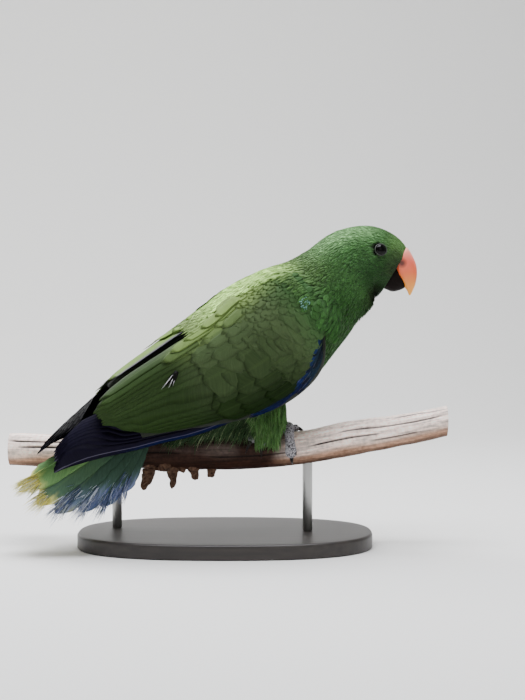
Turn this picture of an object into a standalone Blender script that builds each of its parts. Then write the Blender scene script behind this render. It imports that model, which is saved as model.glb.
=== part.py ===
"""A green male eclectus parrot on a short length of branch, held by a display stand.

Sizes below are millimetres; each mesh is written in metres. +X is the way the bird faces,
its right side faces -Y, +Z is up, and the origin is the middle of the base's underside.
"""
import math
import random

import bpy
import numpy as np

MM = 0.001
GAP = 0.3            # left between solids that touch
SEED = 7

# The body's centre line, from the bill's root back to the tail's end. "station" is the distance
# behind the shoulders in the side view; up, down and half are the skin's distances from the line.
STATION = (-108, -102, -88, -72, -49, -25, 0, 27, 57, 96, 134, 175, 213, 249)
LINE_X = (142.5, 137.5, 120.5, 104.4, 86.7, 68.9, 48.8, 28.0, 4.2, -29.6, -62.1, -96.5, -126.7, -151.4)
LINE_Y = (9.7, 9.7, 9.7, 9.5, 8.5, 6.0, 2.0, -3.2, -9.6, -18.9, -27.9, -37.5, -46.0, -53.0)
LINE_Z = (221.5, 224.6, 229.0, 225.0, 210.5, 194.5, 179.4, 161.9, 145.5, 127.0, 111.1, 92.4, 72.2, 49.8)
SKIN_UP = (8, 16.5, 26.2, 30.7, 33.5, 39.5, 46, 49, 44, 36, 25, 16, 10, 6)
SKIN_DOWN = (12, 20.5, 27.8, 31.2, 34, 40, 46.7, 47, 41, 33, 24, 16, 10, 6)
SKIN_HALF = (6, 13, 24, 26.5, 29.5, 34, 39, 40.5, 39, 33, 22, 14, 10, 8)
SKIN_POWER = 2.35    # above 2 squares the section's corners
BODY_SIDES = 28
FACE_START = -103    # the face feathers' edge against the bill
HEAD_END = -63       # stations where the skin is parted
NECK_END = -20
TORSO_END = 137

# The folded wing wraps the body's side in an outer surface of its own.
WING_UP = (10, 18, 26, 30.7, 34, 43, 49, 51.5, 48, 43, 36.5, 28, 21, 15)
WING_DOWN = (10, 18, 26, 30.6, 35, 45, 52, 54, 52, 46, 36.5, 26, 14, 8)
WING_HALF = (6, 13, 24, 27, 30, 38.5, 45, 47.5, 47, 43, 36, 28, 20, 14)
WING_POWER = 3.2
WING_FRONT = -24
WING_BACK = 146      # where the solid part ends and only feathers go on
WING_THICK = 6.5
WING_TOP_EDGE = (50, 34, 24, 24, 30, 40, 46)      # degrees from the back's middle
WING_LOW_EDGE = (84, 122, 146, 150, 136, 122, 112)
WING_EDGE_AT = (-24, -8, 15, 40, 70, 105, 146)    # stations of those edges
WING_ARM_LIFT = -1.2
VANE_THICK = 0.65
TIP_ROUND = 0.055    # how far a vane's corners stay behind its tip
PRIMARIES = 7
PRIMARY_ROOT = 64
PRIMARY_TIPS = (160, 222)        # innermost and outermost
PRIMARY_AT = (62, 120, 160, 190, 222)
PRIMARY_LOWEST = (122, 126, 121, 105, 92)         # angle of the outermost at those stations
PRIMARY_SPREAD = (19, 38)        # degrees between first and last, at their roots and tips
SECONDARIES = 7
SECONDARY_ROOT = 60
SECONDARY_TIP = 174
SECONDARY_ROOT_ANGLES = (52, 108)
SECONDARY_TIP_ANGLES = (54, 96)
GREATER_COVERTS = 6
GREATER_ROOT = 38
GREATER_TIP = 86
GREATER_ANGLES = (46, 110)
SMALL_ANGLES = (41, 117)
SMALL_COVERTS = ((17, 32, 5), (0, 31, 5), (-15, 29, 4))    # first station, length, count of each row
EDGE_FEATHERS = 5    # short stiff feathers on the wing's front edge
EDGE_FEATHER_LENGTH = 37
LEFT_WING_RISE = 52      # degrees that the far wing's tip lies higher
LEFT_WING_TOP = 66       # degrees that its upper edge lies nearer and across the back's middle
LEFT_WING_TUCK = 20      # how much shorter its innermost feathers show
SCAPULARS = 2
SCAPULAR_LENGTH = 38

# Tail feathers: central pair first, outermost last.
TAIL_LENGTH = (118, 120, 114, 101, 88, 71)
TAIL_WIDTH = 21
TAIL_ROOT_STATION = 128
TAIL_CORE_AT = (112, 124, 136, 148, 160, 170)
TAIL_CORE_SIZE = (0.4, 0.62, 0.78, 0.74, 0.55, 0.3)      # share of the skin's section
TAIL_PITCH = 29          # degrees below level
TAIL_YAW = -15
TAIL_NEAR_FAN = (6.2, -3.6)    # droop and turn of each next feather, degrees
TAIL_FAR_FAN = (2.2, 5.0)

EYE_CENTRE = (122.0, -9.5, 236.3)
EYE_RADIUS = 6.0
LID_RING = 5.5       # radius of the lid's raised rim
LID_DEPTH = 3.9      # eye centre to lid plane

BILL_Y = 9.7
CULMEN = ((146.6, 238.6), (151.0, 231.5), (153.8, 224.1), (154.2, 216.8), (153.0, 209.4), (151.0, 204.5))
TOMIUM = ((138.1, 225.0), (138.9, 221.0), (140.1, 216.7), (142.0, 213.0), (144.4, 207.8), (146.3, 204.2))
UPPER_HALF = (11.2, 10.6, 9.0, 6.8, 4.5, 2.6)
BILL_TIP = (148.6, 199.2)
CHIN_TOP = ((137.6, 221.6), (139.9, 216.8), (142.8, 211.9))
CHIN_LOW = ((129.0, 205.6), (134.6, 203.6), (140.4, 204.8))
LOWER_HALF = (10.2, 9.0, 6.4)
CHIN_TIP = (144.2, 206.6)
BILL_ROOT = 4.0      # how far the bills sink into the head
NOSTRIL = (142.9, -0.9, 228.0)    # on the right side of the upper bill
NOSTRIL_RADIUS = 1.25

BRANCH_X = (-176, -140, -60, 4, 60, 100, 135, 176)
BRANCH_Y = (23, 19.5, 10.5, 4, -2, -6.5, -10, -14)
BRANCH_Z = (74.8, 74.4, 74.2, 74.0, 78.6, 87.0, 92.6, 101.4)
BRANCH_RADIUS = (13.1, 13.2, 13.4, 13.6, 13.0, 14.0, 12.6, 12.2)
# Twig stubs as (place, place of the tip, drop, radius, tip's radius)
STUBS = ((-56, -66, 26, 4.6, 2.4), (-41, -43, 25, 3.6, 1.6), (-26, -24, 17, 4.2, 2.6), (-12, -11, 16, 3.8, 2.6))

BASE_LENGTH = 236
BASE_WIDTH = 150
BASE_HEIGHT = 12
BASE_BEVEL = 2.0
BASE_SQUARENESS = 0.8    # 1 would be an ellipse
ROD_RADIUS = 4.0
ROD_X = (66, -88)

# Toes as (lean along the branch, turn round it in degrees, radius); the near side is positive.
RIGHT_FOOT_X = 50
RIGHT_ANKLE = (38.5, -18.6, 100.5)
RIGHT_TOES = ((3, 107, 3.3), (12, 20, 2.8), (-6, -80, 2.8), (4, -84, 3.0))
LEFT_FOOT_X = 29
LEFT_ANKLE = (21, 13.2, 103.5)
LEFT_TOES = ((1, -92, 3.1), (8, -84, 2.9), (-9, 58, 2.8), (0, 72, 2.9))
TOE_SWELL = (1.0, 1.08, 0.92, 1.04, 0.88, 0.98, 0.7)      # knuckles and pads along a toe
TARSUS_RADII = (3.7, 3.1, 3.6)
SOLE_RADIUS = 4.2
CLAW_LENGTH = 9.5
CLAW_HOOK = 3.4
CLAW_RADIUS = 1.62
RIGHT_THIGH = ((22, -16, 118), (30, -20, 108), (37, -19.6, 98))
LEFT_THIGH = ((14, 9, 122), (18, 14, 112), (21, 13.5, 101))
THIGH_REACH = (13.0, 14.0, 13.6, 12.4, 10.8, 8.8, 6.8, 4.6)
THIGH_WIDE = 1.15        # times the reach, along the body
THIGH_DEEP = 0.62        # times the reach, across it

# Linear colours
BODY_GREEN = (0.07, 0.16, 0.04)
NECK_GREEN = (0.06, 0.17, 0.05)
HEAD_GREEN = (0.05, 0.17, 0.06)
WING_GREEN = (0.06, 0.12, 0.03)
TAIL_GREEN = (0.1, 0.2, 0.06)
EYE_BLACK = (0.01, 0.008, 0.008)
BILL_CORAL = (0.8, 0.22, 0.1)
BILL_BLACK = (0.02, 0.012, 0.01)
FOOT_GREY = (0.27, 0.25, 0.27)
CLAW_DARK = (0.04, 0.035, 0.03)
BARK_BROWN = (0.35, 0.25, 0.18)
BASE_DARK = (0.05, 0.045, 0.04)
ROD_GREY = (0.4, 0.4, 0.4)


def smooth(at, knots, values):
    """A cubic through the knots, with each knot's slope taken from its neighbours."""
    at = np.asarray(at, float)
    knots = np.asarray(knots, float)
    values = np.asarray(values, float)
    slope = np.gradient(values, knots)
    place = np.clip(np.searchsorted(knots, at) - 1, 0, len(knots) - 2)
    span = knots[place + 1] - knots[place]
    t = (at - knots[place]) / span
    start = (2 * t ** 3 - 3 * t ** 2 + 1) * values[place] + (t ** 3 - 2 * t ** 2 + t) * span * slope[place]
    end = (3 * t ** 2 - 2 * t ** 3) * values[place + 1] + (t ** 3 - t ** 2) * span * slope[place + 1]
    return start + end


def between(ends, share):
    """A value at a share of the way from the first end to the last."""
    return ends[0] + (ends[1] - ends[0]) * share


def unit(vectors):
    """The vectors at length one."""
    vectors = np.asarray(vectors, float)
    return vectors / np.linalg.norm(vectors, axis=-1, keepdims=True)


def axes_at(station):
    """The centre line's point, its up direction and its right-hand direction at a station."""
    station = np.asarray(station, float)
    point = np.stack([smooth(station, STATION, line) for line in (LINE_X, LINE_Y, LINE_Z)], -1)
    ahead = np.stack([smooth(station - 2, STATION, line) for line in (LINE_X, LINE_Y, LINE_Z)], -1)
    forward = unit(ahead - point)
    right = unit(np.cross(forward, [0.0, 0.0, 1.0]))
    return point, np.cross(right, forward), right


def around(station, angle, up, down, half, power, lift=0.0):
    """Points of a squared oval round the centre line; angle is in degrees from the back's middle."""
    station, angle, lift = np.broadcast_arrays(station, angle, lift)
    point, above, right = axes_at(station)
    turn = np.radians(angle)
    cosine = np.sign(np.cos(turn)) * np.abs(np.cos(turn)) ** (2 / power)
    sine = np.sign(np.sin(turn)) * np.abs(np.sin(turn)) ** (2 / power)
    tall = np.where(cosine > 0, smooth(station, STATION, up), smooth(station, STATION, down)) + lift
    wide = smooth(station, STATION, half) + lift
    return point + above * (cosine * tall)[..., None] + right * (sine * wide)[..., None]


def skin(station, angle, lift=0.0):
    """The body's skin."""
    return around(station, angle, SKIN_UP, SKIN_DOWN, SKIN_HALF, SKIN_POWER, lift)


def wing_skin(station, angle, lift=0.0):
    """The outer surface of the right folded wing; the left one takes negative angles."""
    return around(station, angle, WING_UP, WING_DOWN, WING_HALF, WING_POWER, lift)


def mesh_object(name, points, faces):
    """A mesh object from points in millimetres."""
    mesh = bpy.data.meshes.new(name)
    mesh.from_pydata([tuple(point) for point in np.asarray(points) * MM], [], [tuple(face) for face in faces])
    mesh.validate()
    shape = bpy.data.objects.new(name, mesh)
    bpy.context.scene.collection.objects.link(shape)
    return shape


def loft(name, rings, tail_point=None, head_point=None):
    """A closed solid through rings of equal point counts, its ends fanned to their middles."""
    rings = np.asarray(rings, float)
    count, sides = rings.shape[:2]
    first = rings[0].mean(0) if head_point is None else np.asarray(head_point, float)
    last = rings[-1].mean(0) if tail_point is None else np.asarray(tail_point, float)
    points = np.vstack([rings.reshape(-1, 3), first, last])
    faces = []
    for row in range(count - 1):
        for side in range(sides):
            after = (side + 1) % sides
            low, high = row * sides, (row + 1) * sides
            faces.append((low + side, low + after, high + after))
            faces.append((low + side, high + after, high + side))
    for side in range(sides):
        after = (side + 1) % sides
        faces.append((count * sides, after, side))
        low = (count - 1) * sides
        faces.append((count * sides + 1, low + side, low + after))
    return face_outwards(mesh_object(name, points, faces))


def slab(name, top, bottom):
    """A thin closed plate from two like grids, split into triangles alike on both faces."""
    top, bottom = np.asarray(top, float), np.asarray(bottom, float)
    long, wide = top.shape[:2]
    points = np.vstack([top.reshape(-1, 3), bottom.reshape(-1, 3)])
    under = long * wide
    faces = []
    for row in range(long - 1):
        for column in range(wide - 1):
            a, b = row * wide + column, row * wide + column + 1
            c, d = a + wide, b + wide
            faces += [(a, b, d), (a, d, c), (under + a, under + d, under + b), (under + a, under + c, under + d)]
    rim = [(0, column) for column in range(wide)]
    rim += [(row, wide - 1) for row in range(1, long)]
    rim += [(long - 1, column) for column in range(wide - 2, -1, -1)]
    rim += [(row, 0) for row in range(long - 2, 0, -1)]
    rim = [row * wide + column for row, column in rim]
    for here, after in zip(rim, rim[1:] + rim[:1]):
        faces += [(here, under + after, after), (here, under + here, under + after)]
    return face_outwards(mesh_object(name, points, faces))


def face_outwards(shape):
    """Turns a closed mesh's faces outwards if its volume comes out negative."""
    mesh = shape.data
    mesh.calc_loop_triangles()
    places = np.array([vertex.co for vertex in mesh.vertices])
    corners = places[np.array([triangle.vertices for triangle in mesh.loop_triangles])]
    volume = np.einsum("ij,ij->i", corners[:, 0], np.cross(corners[:, 1], corners[:, 2])).sum()
    if volume < 0:
        mesh.flip_normals()
    return shape


def apply_boolean(target, pieces, operation, solver="MANIFOLD"):
    """Joins the pieces to the target or cuts them from it, and removes the pieces."""
    group = bpy.data.collections.new("pieces")
    bpy.context.scene.collection.children.link(group)
    for piece in pieces:
        bpy.context.scene.collection.objects.unlink(piece)
        group.objects.link(piece)
    step = target.modifiers.new("boolean", "BOOLEAN")
    step.operation = operation
    step.operand_type = "COLLECTION"
    step.collection = group
    step.solver = solver
    graph = bpy.context.evaluated_depsgraph_get()
    joined = bpy.data.meshes.new_from_object(target.evaluated_get(graph))
    target.modifiers.remove(step)
    target.data = joined
    for piece in pieces:
        bpy.data.objects.remove(piece)
    bpy.data.collections.remove(group)
    keep_largest(target)
    return target


def keep_largest(shape):
    """Keeps only the closed surface with the most room in it."""
    mesh = shape.data
    mesh.calc_loop_triangles()
    parent = list(range(len(mesh.vertices)))

    def root(index):
        while parent[index] != index:
            parent[index] = parent[parent[index]]
            index = parent[index]
        return index

    for edge in mesh.edges:
        parent[root(edge.vertices[0])] = root(edge.vertices[1])
    places = np.array([vertex.co for vertex in mesh.vertices])
    room = {}
    for triangle in mesh.loop_triangles:
        a, b, c = places[list(triangle.vertices)]
        group = root(triangle.vertices[0])
        room[group] = room.get(group, 0.0) + float(np.dot(a, np.cross(b, c)))
    best = max(room, key=lambda group: abs(room[group]))
    faces = []
    for polygon in mesh.polygons:
        if root(polygon.vertices[0]) == best:
            faces.append(tuple(polygon.vertices))
    used = sorted({index for face in faces for index in face})
    order = {index: place for place, index in enumerate(used)}
    kept = bpy.data.meshes.new(mesh.name)
    kept.from_pydata([tuple(places[index]) for index in used], [],
                     [tuple(order[index] for index in face) for face in faces])
    shape.data = kept


def material(name, colour, roughness, metallic=0.0):
    """A plain Principled material; the colour is linear."""
    made = bpy.data.materials.new(name)
    made.use_nodes = True
    surface = made.node_tree.nodes["Principled BSDF"]
    surface.inputs["Base Color"].default_value = (*colour, 1.0)
    surface.inputs["Roughness"].default_value = roughness
    surface.inputs["Metallic"].default_value = metallic
    return made


def finish(shape, name, colour, roughness, metallic=0.0, sharp=40):
    """Names a node, shades it smooth up to the sharp angle and gives it its material."""
    shape.name = name
    shape.data.name = name
    shape.data.materials.clear()
    shape.data.materials.append(material(name, colour, roughness, metallic))
    shape.data.shade_smooth()
    shape.data.set_sharp_from_angle(angle=math.radians(sharp))
    return shape


def body_rings(stations, lift=0.0, parted=False):
    """Rings of the skin; the first is set back by the gap where the length follows another one."""
    angles = np.arange(BODY_SIDES) * 360.0 / BODY_SIDES
    rings = skin(np.asarray(stations, float)[:, None], angles[None, :], lift)
    if parted:
        point, above, right = axes_at(stations[0])
        rings[0] = rings[0] + np.cross(right, above) * (GAP - lift)
    return rings


def rounded_end(stations, start, end):
    """How far each section shrinks so that a length closes in a round end."""
    t = np.clip((stations - start) / (end - start), 0, 1)
    return np.sqrt(np.clip(1 - t ** 2, 0, 1))


def torso(swell=0.0):
    """Chest, belly, back and rump in one length that closes round inside the wings."""
    stations = np.concatenate([np.linspace(NECK_END, 98, 11), TORSO_END - np.array([28, 20, 13, 7, 2.5])])
    shrink = rounded_end(stations, TORSO_END - 46, TORSO_END)
    rings = body_rings(stations, 0.0, True)
    middle = axes_at(stations)[0][:, None, :]
    rings = middle + (rings - middle) * shrink[:, None, None]
    rings = rings + unit(rings - middle) * swell
    return loft("torso", rings, tail_point=axes_at(TORSO_END + swell)[0])


def neck(swell=0.0):
    """The neck between two flat parting planes."""
    return loft("neck", body_rings(np.linspace(HEAD_END, NECK_END + 3 * swell, 5), swell, True))


def lid_rim():
    """The raised rim of the eyelids, a ring lying on the cheek."""
    centre = np.array(EYE_CENTRE) + np.array([0.0, -LID_DEPTH, 0.0])
    turns = np.radians(np.arange(15) * 24.0)
    tube = np.radians(np.arange(6) * 60.0)
    ring = []
    for turn in turns:
        outward = np.array([math.cos(turn), 0.0, math.sin(turn)])
        ring.append([centre + outward * (LID_RING + 0.95 * math.cos(t)) + np.array([0, -1.0 * math.sin(t), 0])
                     for t in tube])
    ring = np.array(ring)
    sides = len(tube)
    faces = []
    for row in range(len(turns)):
        for side in range(sides):
            a, b = row * sides + side, row * sides + (side + 1) % sides
            c = (row + 1) % len(turns) * sides + side
            d = (row + 1) % len(turns) * sides + (side + 1) % sides
            faces += [(a, b, d), (a, d, c)]
    return face_outwards(mesh_object("lid", ring.reshape(-1, 3), faces))


def mirrored(shape, name):
    """A copy reflected in the head's middle plane."""
    mesh = shape.data.copy()
    copy = bpy.data.objects.new(name, mesh)
    bpy.context.scene.collection.objects.link(copy)
    for vertex in mesh.vertices:
        vertex.co.y = 2 * BILL_Y * MM - vertex.co.y
    mesh.flip_normals()
    return copy


def ball(name, centre, radius, rows, sides):
    """A round ball with its poles to the bird's left and right."""
    centre = np.array(centre, float)
    rings = []
    for row in np.radians(np.arange(1, rows) * 180.0 / rows):
        rings.append([centre + radius * np.array([math.sin(row) * math.cos(turn), math.cos(row),
                      math.sin(row) * math.sin(turn)]) for turn in np.radians(np.arange(sides) * 360.0 / sides)])
    return loft(name, rings, tail_point=centre - [0, radius, 0], head_point=centre + [0, radius, 0])


def eyeball(name, radius):
    """One eye, a ball on the right of the head."""
    return ball(name, EYE_CENTRE, radius, 8, 14)


def bill_ring(top, low, half, swell=0.0, flat=3.6, count=16):
    """A bill's cross-section: ridged above, flatter beneath, between two points of its outline."""
    top, low = np.array([top[0], BILL_Y, top[1]]), np.array([low[0], BILL_Y, low[1]])
    middle = (top + low) / 2
    reach = np.linalg.norm(top - low) / 2 + swell
    lean = unit(top - low)
    ring = []
    for turn in np.radians(np.arange(count) * 360.0 / count):
        power = 2.0 if math.cos(turn) > 0 else flat
        across = math.copysign(abs(math.sin(turn)) ** (2 / power), math.sin(turn))
        along = math.copysign(abs(math.cos(turn)) ** (2 / power), math.cos(turn))
        ring.append(middle + lean * (along * reach) + np.array([0, -1, 0]) * (across * (half + swell)))
    return ring


def upper_bill(swell=0.0):
    """The hooked upper bill, sunk by its root in the head."""
    back = np.array([-BILL_ROOT - swell, 0.45 * BILL_ROOT])
    rings = [bill_ring(np.array(CULMEN[0]) + back + [0, -1.5], np.array(TOMIUM[0]) + back, UPPER_HALF[0] - 1, swell)]
    rings += [bill_ring(top, low, half, swell) for top, low, half in zip(CULMEN, TOMIUM, UPPER_HALF)]
    tip = np.array([BILL_TIP[0], BILL_Y, BILL_TIP[1] - swell])
    return loft("upper_bill", rings, tail_point=tip)


def bored_upper_bill():
    """The upper bill with a shallow nostril in each side."""
    nostril = ball("nostril", NOSTRIL, NOSTRIL_RADIUS, 6, 10)
    return apply_boolean(upper_bill(), [nostril, mirrored(nostril, "nostril_left")], "DIFFERENCE")


def lower_bill(swell=0.0):
    """The short lower bill, closed against the upper one."""
    back = np.array([-BILL_ROOT - swell, 0.4 * BILL_ROOT])
    rings = [bill_ring(np.array(CHIN_TOP[0]) + back, np.array(CHIN_LOW[0]) + back, LOWER_HALF[0] - 1, swell, 2.4)]
    rings += [bill_ring(top, low, half, swell, 2.4) for top, low, half in zip(CHIN_TOP, CHIN_LOW, LOWER_HALF)]
    tip = np.array([CHIN_TIP[0] + swell, BILL_Y, CHIN_TIP[1]])
    return loft("lower_bill", rings, tail_point=tip)


def head():
    """Skull and face feathers, with lids, eye sockets and seats for the bills."""
    made = loft("head", body_rings(np.linspace(FACE_START, HEAD_END, 12)))
    rim = lid_rim()
    apply_boolean(made, [rim, mirrored(rim, "lid_left")], "UNION")
    socket = eyeball("socket", EYE_RADIUS + GAP)
    cutters = [socket, mirrored(socket, "socket_left"), upper_bill(GAP), lower_bill(GAP)]
    return apply_boolean(made, cutters, "DIFFERENCE")


def feather(surface, start, end, path, width, lifts, tilts, rows=5, blunt=0.5):
    """One vane on a surface, from root to tip.

    path gives its middle's angle at a station; lifts are its heights at the root, a third of the
    way and the tip; tilts raise its outer edge at the root and the tip.
    """
    along = np.linspace(0, 1, rows)
    across = np.array([-1.0, 0.0, 1.0])
    stations = start + (end - start) * along
    lift = np.interp(along, (0, 0.35, 1), lifts)
    tilt = np.interp(along, (0, 1), tilts)
    outline = np.interp(along, (0, 0.3, 0.75, 1), (0.7, 1.0, 0.95, blunt))
    thin = np.interp(along, (0, 0.8, 1), (1.0, 1.0, 0.8)) * VANE_THICK / 2
    angle = path(stations)[:, None] + across[None, :] * (outline * width / 2)[:, None]
    height = lift[:, None] + tilt[:, None] * across[None, :] + 0.15 * (1 - across ** 2)[None, :]
    reach = stations[:, None] + np.zeros(3)[None, :]
    reach[-1] -= TIP_ROUND * (end - start) * np.abs(across)
    top = surface(reach, angle, height + thin[:, None])
    bottom = surface(reach, angle, height - thin[:, None])
    return slab("vane", top, bottom)


def wing_core(side, top_shift):
    """The wing's solid arm and hand, a shell that follows the body's side."""
    stations = np.concatenate([[WING_FRONT], np.linspace(-15, WING_BACK - 14, 9), [WING_BACK]])
    top_edge = smooth(stations, WING_EDGE_AT, WING_TOP_EDGE) - top_shift * np.clip((stations - 40) / 40, 0, 1)
    low_edge = smooth(stations, WING_EDGE_AT, WING_LOW_EDGE)
    across = np.array([0.0, 0.07, 0.25, 0.42, 0.58, 0.75, 0.93, 1.0])
    angle = top_edge[:, None] + (low_edge - top_edge)[:, None] * across[None, :]
    ends = np.interp(stations, (WING_FRONT, -10, 100, WING_BACK), (0.0, 1.0, 1.0, 0.35))
    edge = np.array([0.25, 0.6, 1.0, 1.0, 1.0, 1.0, 0.6, 0.25])
    outer = WING_ARM_LIFT - 2.5 * (1 - ends)[:, None]
    thick = 1.6 + (WING_THICK - 1.6) * ends[:, None] * edge[None, :]
    top = wing_skin(stations[:, None], side * angle, outer)
    bottom = wing_skin(stations[:, None], side * angle, outer - thick)
    return slab("core", top, bottom)


def wing(side, rise, top_shift, tuck):
    """A folded wing: its solid arm, then the flight feathers and their coverts in tiers."""
    draw = random.Random(SEED + side)
    pieces = []

    def lay(start, end, path, width, lifts, tilts, **more):
        def raised(stations):
            return path(stations) - rise * np.interp(stations, (90, 220), (0, 1))

        pieces.append(feather(lambda s, a, h: wing_skin(s, a * side, h), start, end, raised, width,
                              lifts, tilts, **more))

    def level(angle):
        def path(stations):
            upper = np.clip(1 - (angle - 30) / 50, 0, 1)
            return angle - top_shift * upper * np.clip((stations - 40) / 40, 0, 1)

        return path

    for i in range(PRIMARIES):
        t = i / (PRIMARIES - 1)

        def primary(stations, t=t):
            lowest = np.interp(stations, PRIMARY_AT, PRIMARY_LOWEST)
            return lowest - np.interp(stations, (100, 165), PRIMARY_SPREAD) * (1 - t)

        tip = PRIMARY_TIPS[0] + (PRIMARY_TIPS[1] - PRIMARY_TIPS[0]) * t - 5 * (t > 0.95)
        lay(PRIMARY_ROOT, tip, primary, 15 + 3 * (1 - t), (-4.8, -4.4, -3.4), (1.9, 1.7), blunt=0.4)
    for i in range(SECONDARIES):
        t = i / (SECONDARIES - 1)

        def secondary(stations, t=t):
            root = level(between(SECONDARY_ROOT_ANGLES, t))(stations)
            end = level(between(SECONDARY_TIP_ANGLES, t))(stations)
            return root + (end - root) * np.interp(stations, (SECONDARY_ROOT, 160), (0, 1))

        tip = SECONDARY_TIP - 34 * abs(t - 0.25) ** 1.4 - 12 * t - tuck * (1 - t) + draw.uniform(-2, 2)
        lay(SECONDARY_ROOT, tip, secondary, 22, (-2.4, 0.9, 1.2), (1.3, 1.8), blunt=0.45)
    for i in range(GREATER_COVERTS):
        angle = between(GREATER_ANGLES, i / (GREATER_COVERTS - 1))
        lay(GREATER_ROOT, GREATER_TIP + draw.uniform(-2, 2), level(angle), 18.5, (-2.6, 1.6, 3.4), (0.8, 0.9), rows=4)
    for row, (start, length, count) in enumerate(SMALL_COVERTS):
        for i in range(count):
            angle = between(SMALL_ANGLES, (i + 0.5 * (row % 2)) / count)
            lay(start, start + length + draw.uniform(-1.5, 1.5), level(angle), 18,
                (-2.8, 0.0, 1.9), (0.5, 0.6), rows=3)
    for i in range(EDGE_FEATHERS):
        t = i / (EDGE_FEATHERS - 1)
        start = -12 + 62 * t
        angle = 128 + 12 * min(1, 3 * t) - 14 * max(0, t - 0.5)
        lay(start, start + EDGE_FEATHER_LENGTH, lambda stations, angle=angle: angle + 0 * stations, 11,
            (-2.6, -0.6, 0.6), (0.6, 0.7), rows=3)
    for i in range(SCAPULARS):
        start = 18 + 26 * i
        lay(start, start + SCAPULAR_LENGTH, level(37 + 2 * i), 17, (-2.8, -0.2, 1.2), (0.6, 0.6), rows=3)
    made = apply_boolean(wing_core(side, top_shift), pieces, "UNION")
    return apply_boolean(made, [torso(GAP), neck(GAP)], "DIFFERENCE")


def tail_skin(side):
    """The fanned tail as a surface: distance from the root, place across the fan (0 to 5), lift."""
    root, above, right = axes_at(TAIL_ROOT_STATION)

    def surface(distance, place, lift):
        distance, place, lift = np.broadcast_arrays(distance, place, lift)
        droop, turn = TAIL_NEAR_FAN if side > 0 else TAIL_FAR_FAN
        pitch = np.radians(TAIL_PITCH + droop * place)
        yaw = np.radians(TAIL_YAW + turn * place)
        way = np.stack([-np.cos(pitch) * np.cos(yaw), np.cos(pitch) * np.sin(yaw), -np.sin(pitch)], -1)
        spread = 2.0 * place
        start = root + right * (side * spread)[..., None] - above * (0.25 * spread)[..., None]
        roof = np.radians(12 + 9.0 * place) * side
        normal = above * np.cos(roof)[..., None] + right * np.sin(roof)[..., None]
        return start + way * distance[..., None] + normal * lift[..., None]

    return surface


def tail():
    """Twelve rectrices in a roof-shaped fan on one root."""
    stations = np.array(TAIL_CORE_AT, float)
    angles = np.arange(12) * 30.0
    size = np.array(TAIL_CORE_SIZE)
    rings = around(stations[:, None], angles[None, :], SKIN_UP, SKIN_DOWN, SKIN_HALF, 2.0)
    middle = axes_at(stations)[0][:, None, :]
    made = loft("tail", middle + (rings - middle) * size[:, None, None])
    pieces = []
    for side in (1, -1):
        fan = tail_skin(side)
        for k, length in enumerate(TAIL_LENGTH):

            def fanned(distance, offset, lift, fan=fan, place=k + 0.35):
                return fan(distance, place + offset * TAIL_WIDTH / (np.maximum(distance, 12.0) * 0.21 + 5.0), lift)

            depth = -1.1 * k - 0.4
            pieces.append(feather(fanned, 2, length, lambda distance: 0 * distance, 1.9,
                                  (depth, depth, depth), (0.0, 0.0), blunt=0.45))
    apply_boolean(made, pieces, "UNION")
    return apply_boolean(made, [torso(2 * GAP)], "DIFFERENCE")


def tube(name, path, radii, sides=12, swell=0.0):
    """A solid of round sections along a path."""
    path = np.asarray(path, float)
    ways = unit(np.gradient(path, axis=0))
    helper = np.array([0.0, 1.0, 0.0]) if abs(ways[0][1]) < 0.8 else np.array([1.0, 0.0, 0.0])
    rings = []
    for point, way, radius in zip(path, ways, radii):
        across = unit(np.cross(way, helper))
        other = np.cross(way, across)
        turns = np.radians(np.arange(sides) * 360.0 / sides)
        rings.append([point + (radius + swell) * (across * math.cos(turn) + other * math.sin(turn))
                      for turn in turns])
    return loft(name, rings)


def branch_point(x):
    """The branch's middle at a place along it."""
    return np.array([x, smooth(x, BRANCH_X, BRANCH_Y), smooth(x, BRANCH_X, BRANCH_Z)])


def perch(swell=0.0):
    """A short cut length of branch with the stubs of broken twigs beneath it."""
    places = np.linspace(BRANCH_X[0], BRANCH_X[-1], 13)
    radii = smooth(places, BRANCH_X, BRANCH_RADIUS)
    made = tube("perch", [branch_point(x) for x in places], radii, 14, swell)
    stubs = []
    for x, end_x, drop, radius, end_radius in STUBS:
        start = branch_point(x)
        end = branch_point(end_x) + np.array([0.0, -4.0, -drop - 4.0])
        steps = [start + (end - start) * t for t in (0.0, 0.5, 0.8, 1.0)]
        stubs.append(tube("stub", steps, (radius, radius * 0.9, (radius + end_radius) / 2, end_radius), 7, swell))
    return apply_boolean(made, stubs, "UNION")


def stand_base():
    """An oval plinth with a bevelled upper edge."""
    rings = []
    for inset, height in ((0.8, 0.0), (0.0, 0.8), (0.0, BASE_HEIGHT - BASE_BEVEL), (BASE_BEVEL, BASE_HEIGHT)):
        ring = []
        for turn in np.radians(np.arange(32) * 11.25):
            across = math.copysign(abs(math.cos(turn)) ** BASE_SQUARENESS, math.cos(turn)) * (BASE_LENGTH / 2 - inset)
            deep = math.copysign(abs(math.sin(turn)) ** BASE_SQUARENESS, math.sin(turn)) * (BASE_WIDTH / 2 - inset)
            ring.append((across, deep, height))
        rings.append(ring)
    return loft("stand_base", rings)


def stand_rod(name, x):
    """A round rod from the base up to the branch, its top hollowed to the branch's round."""
    foot = branch_point(x)
    heights = (BASE_HEIGHT + GAP, BASE_HEIGHT + 4, foot[2] - 4)
    made = tube(name, [(foot[0], foot[1], height) for height in heights], (ROD_RADIUS,) * 3, 20)
    return apply_boolean(made, [perch(GAP)], "DIFFERENCE")


def grip(x, turn, reach):
    """A point at a distance off the branch's bark; turn is in degrees from the top to the near side."""
    radius = smooth(x, BRANCH_X, BRANCH_RADIUS) + reach
    angle = math.radians(turn)
    return branch_point(x) + radius * np.array([0.0, -math.sin(angle), math.cos(angle)])


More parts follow.
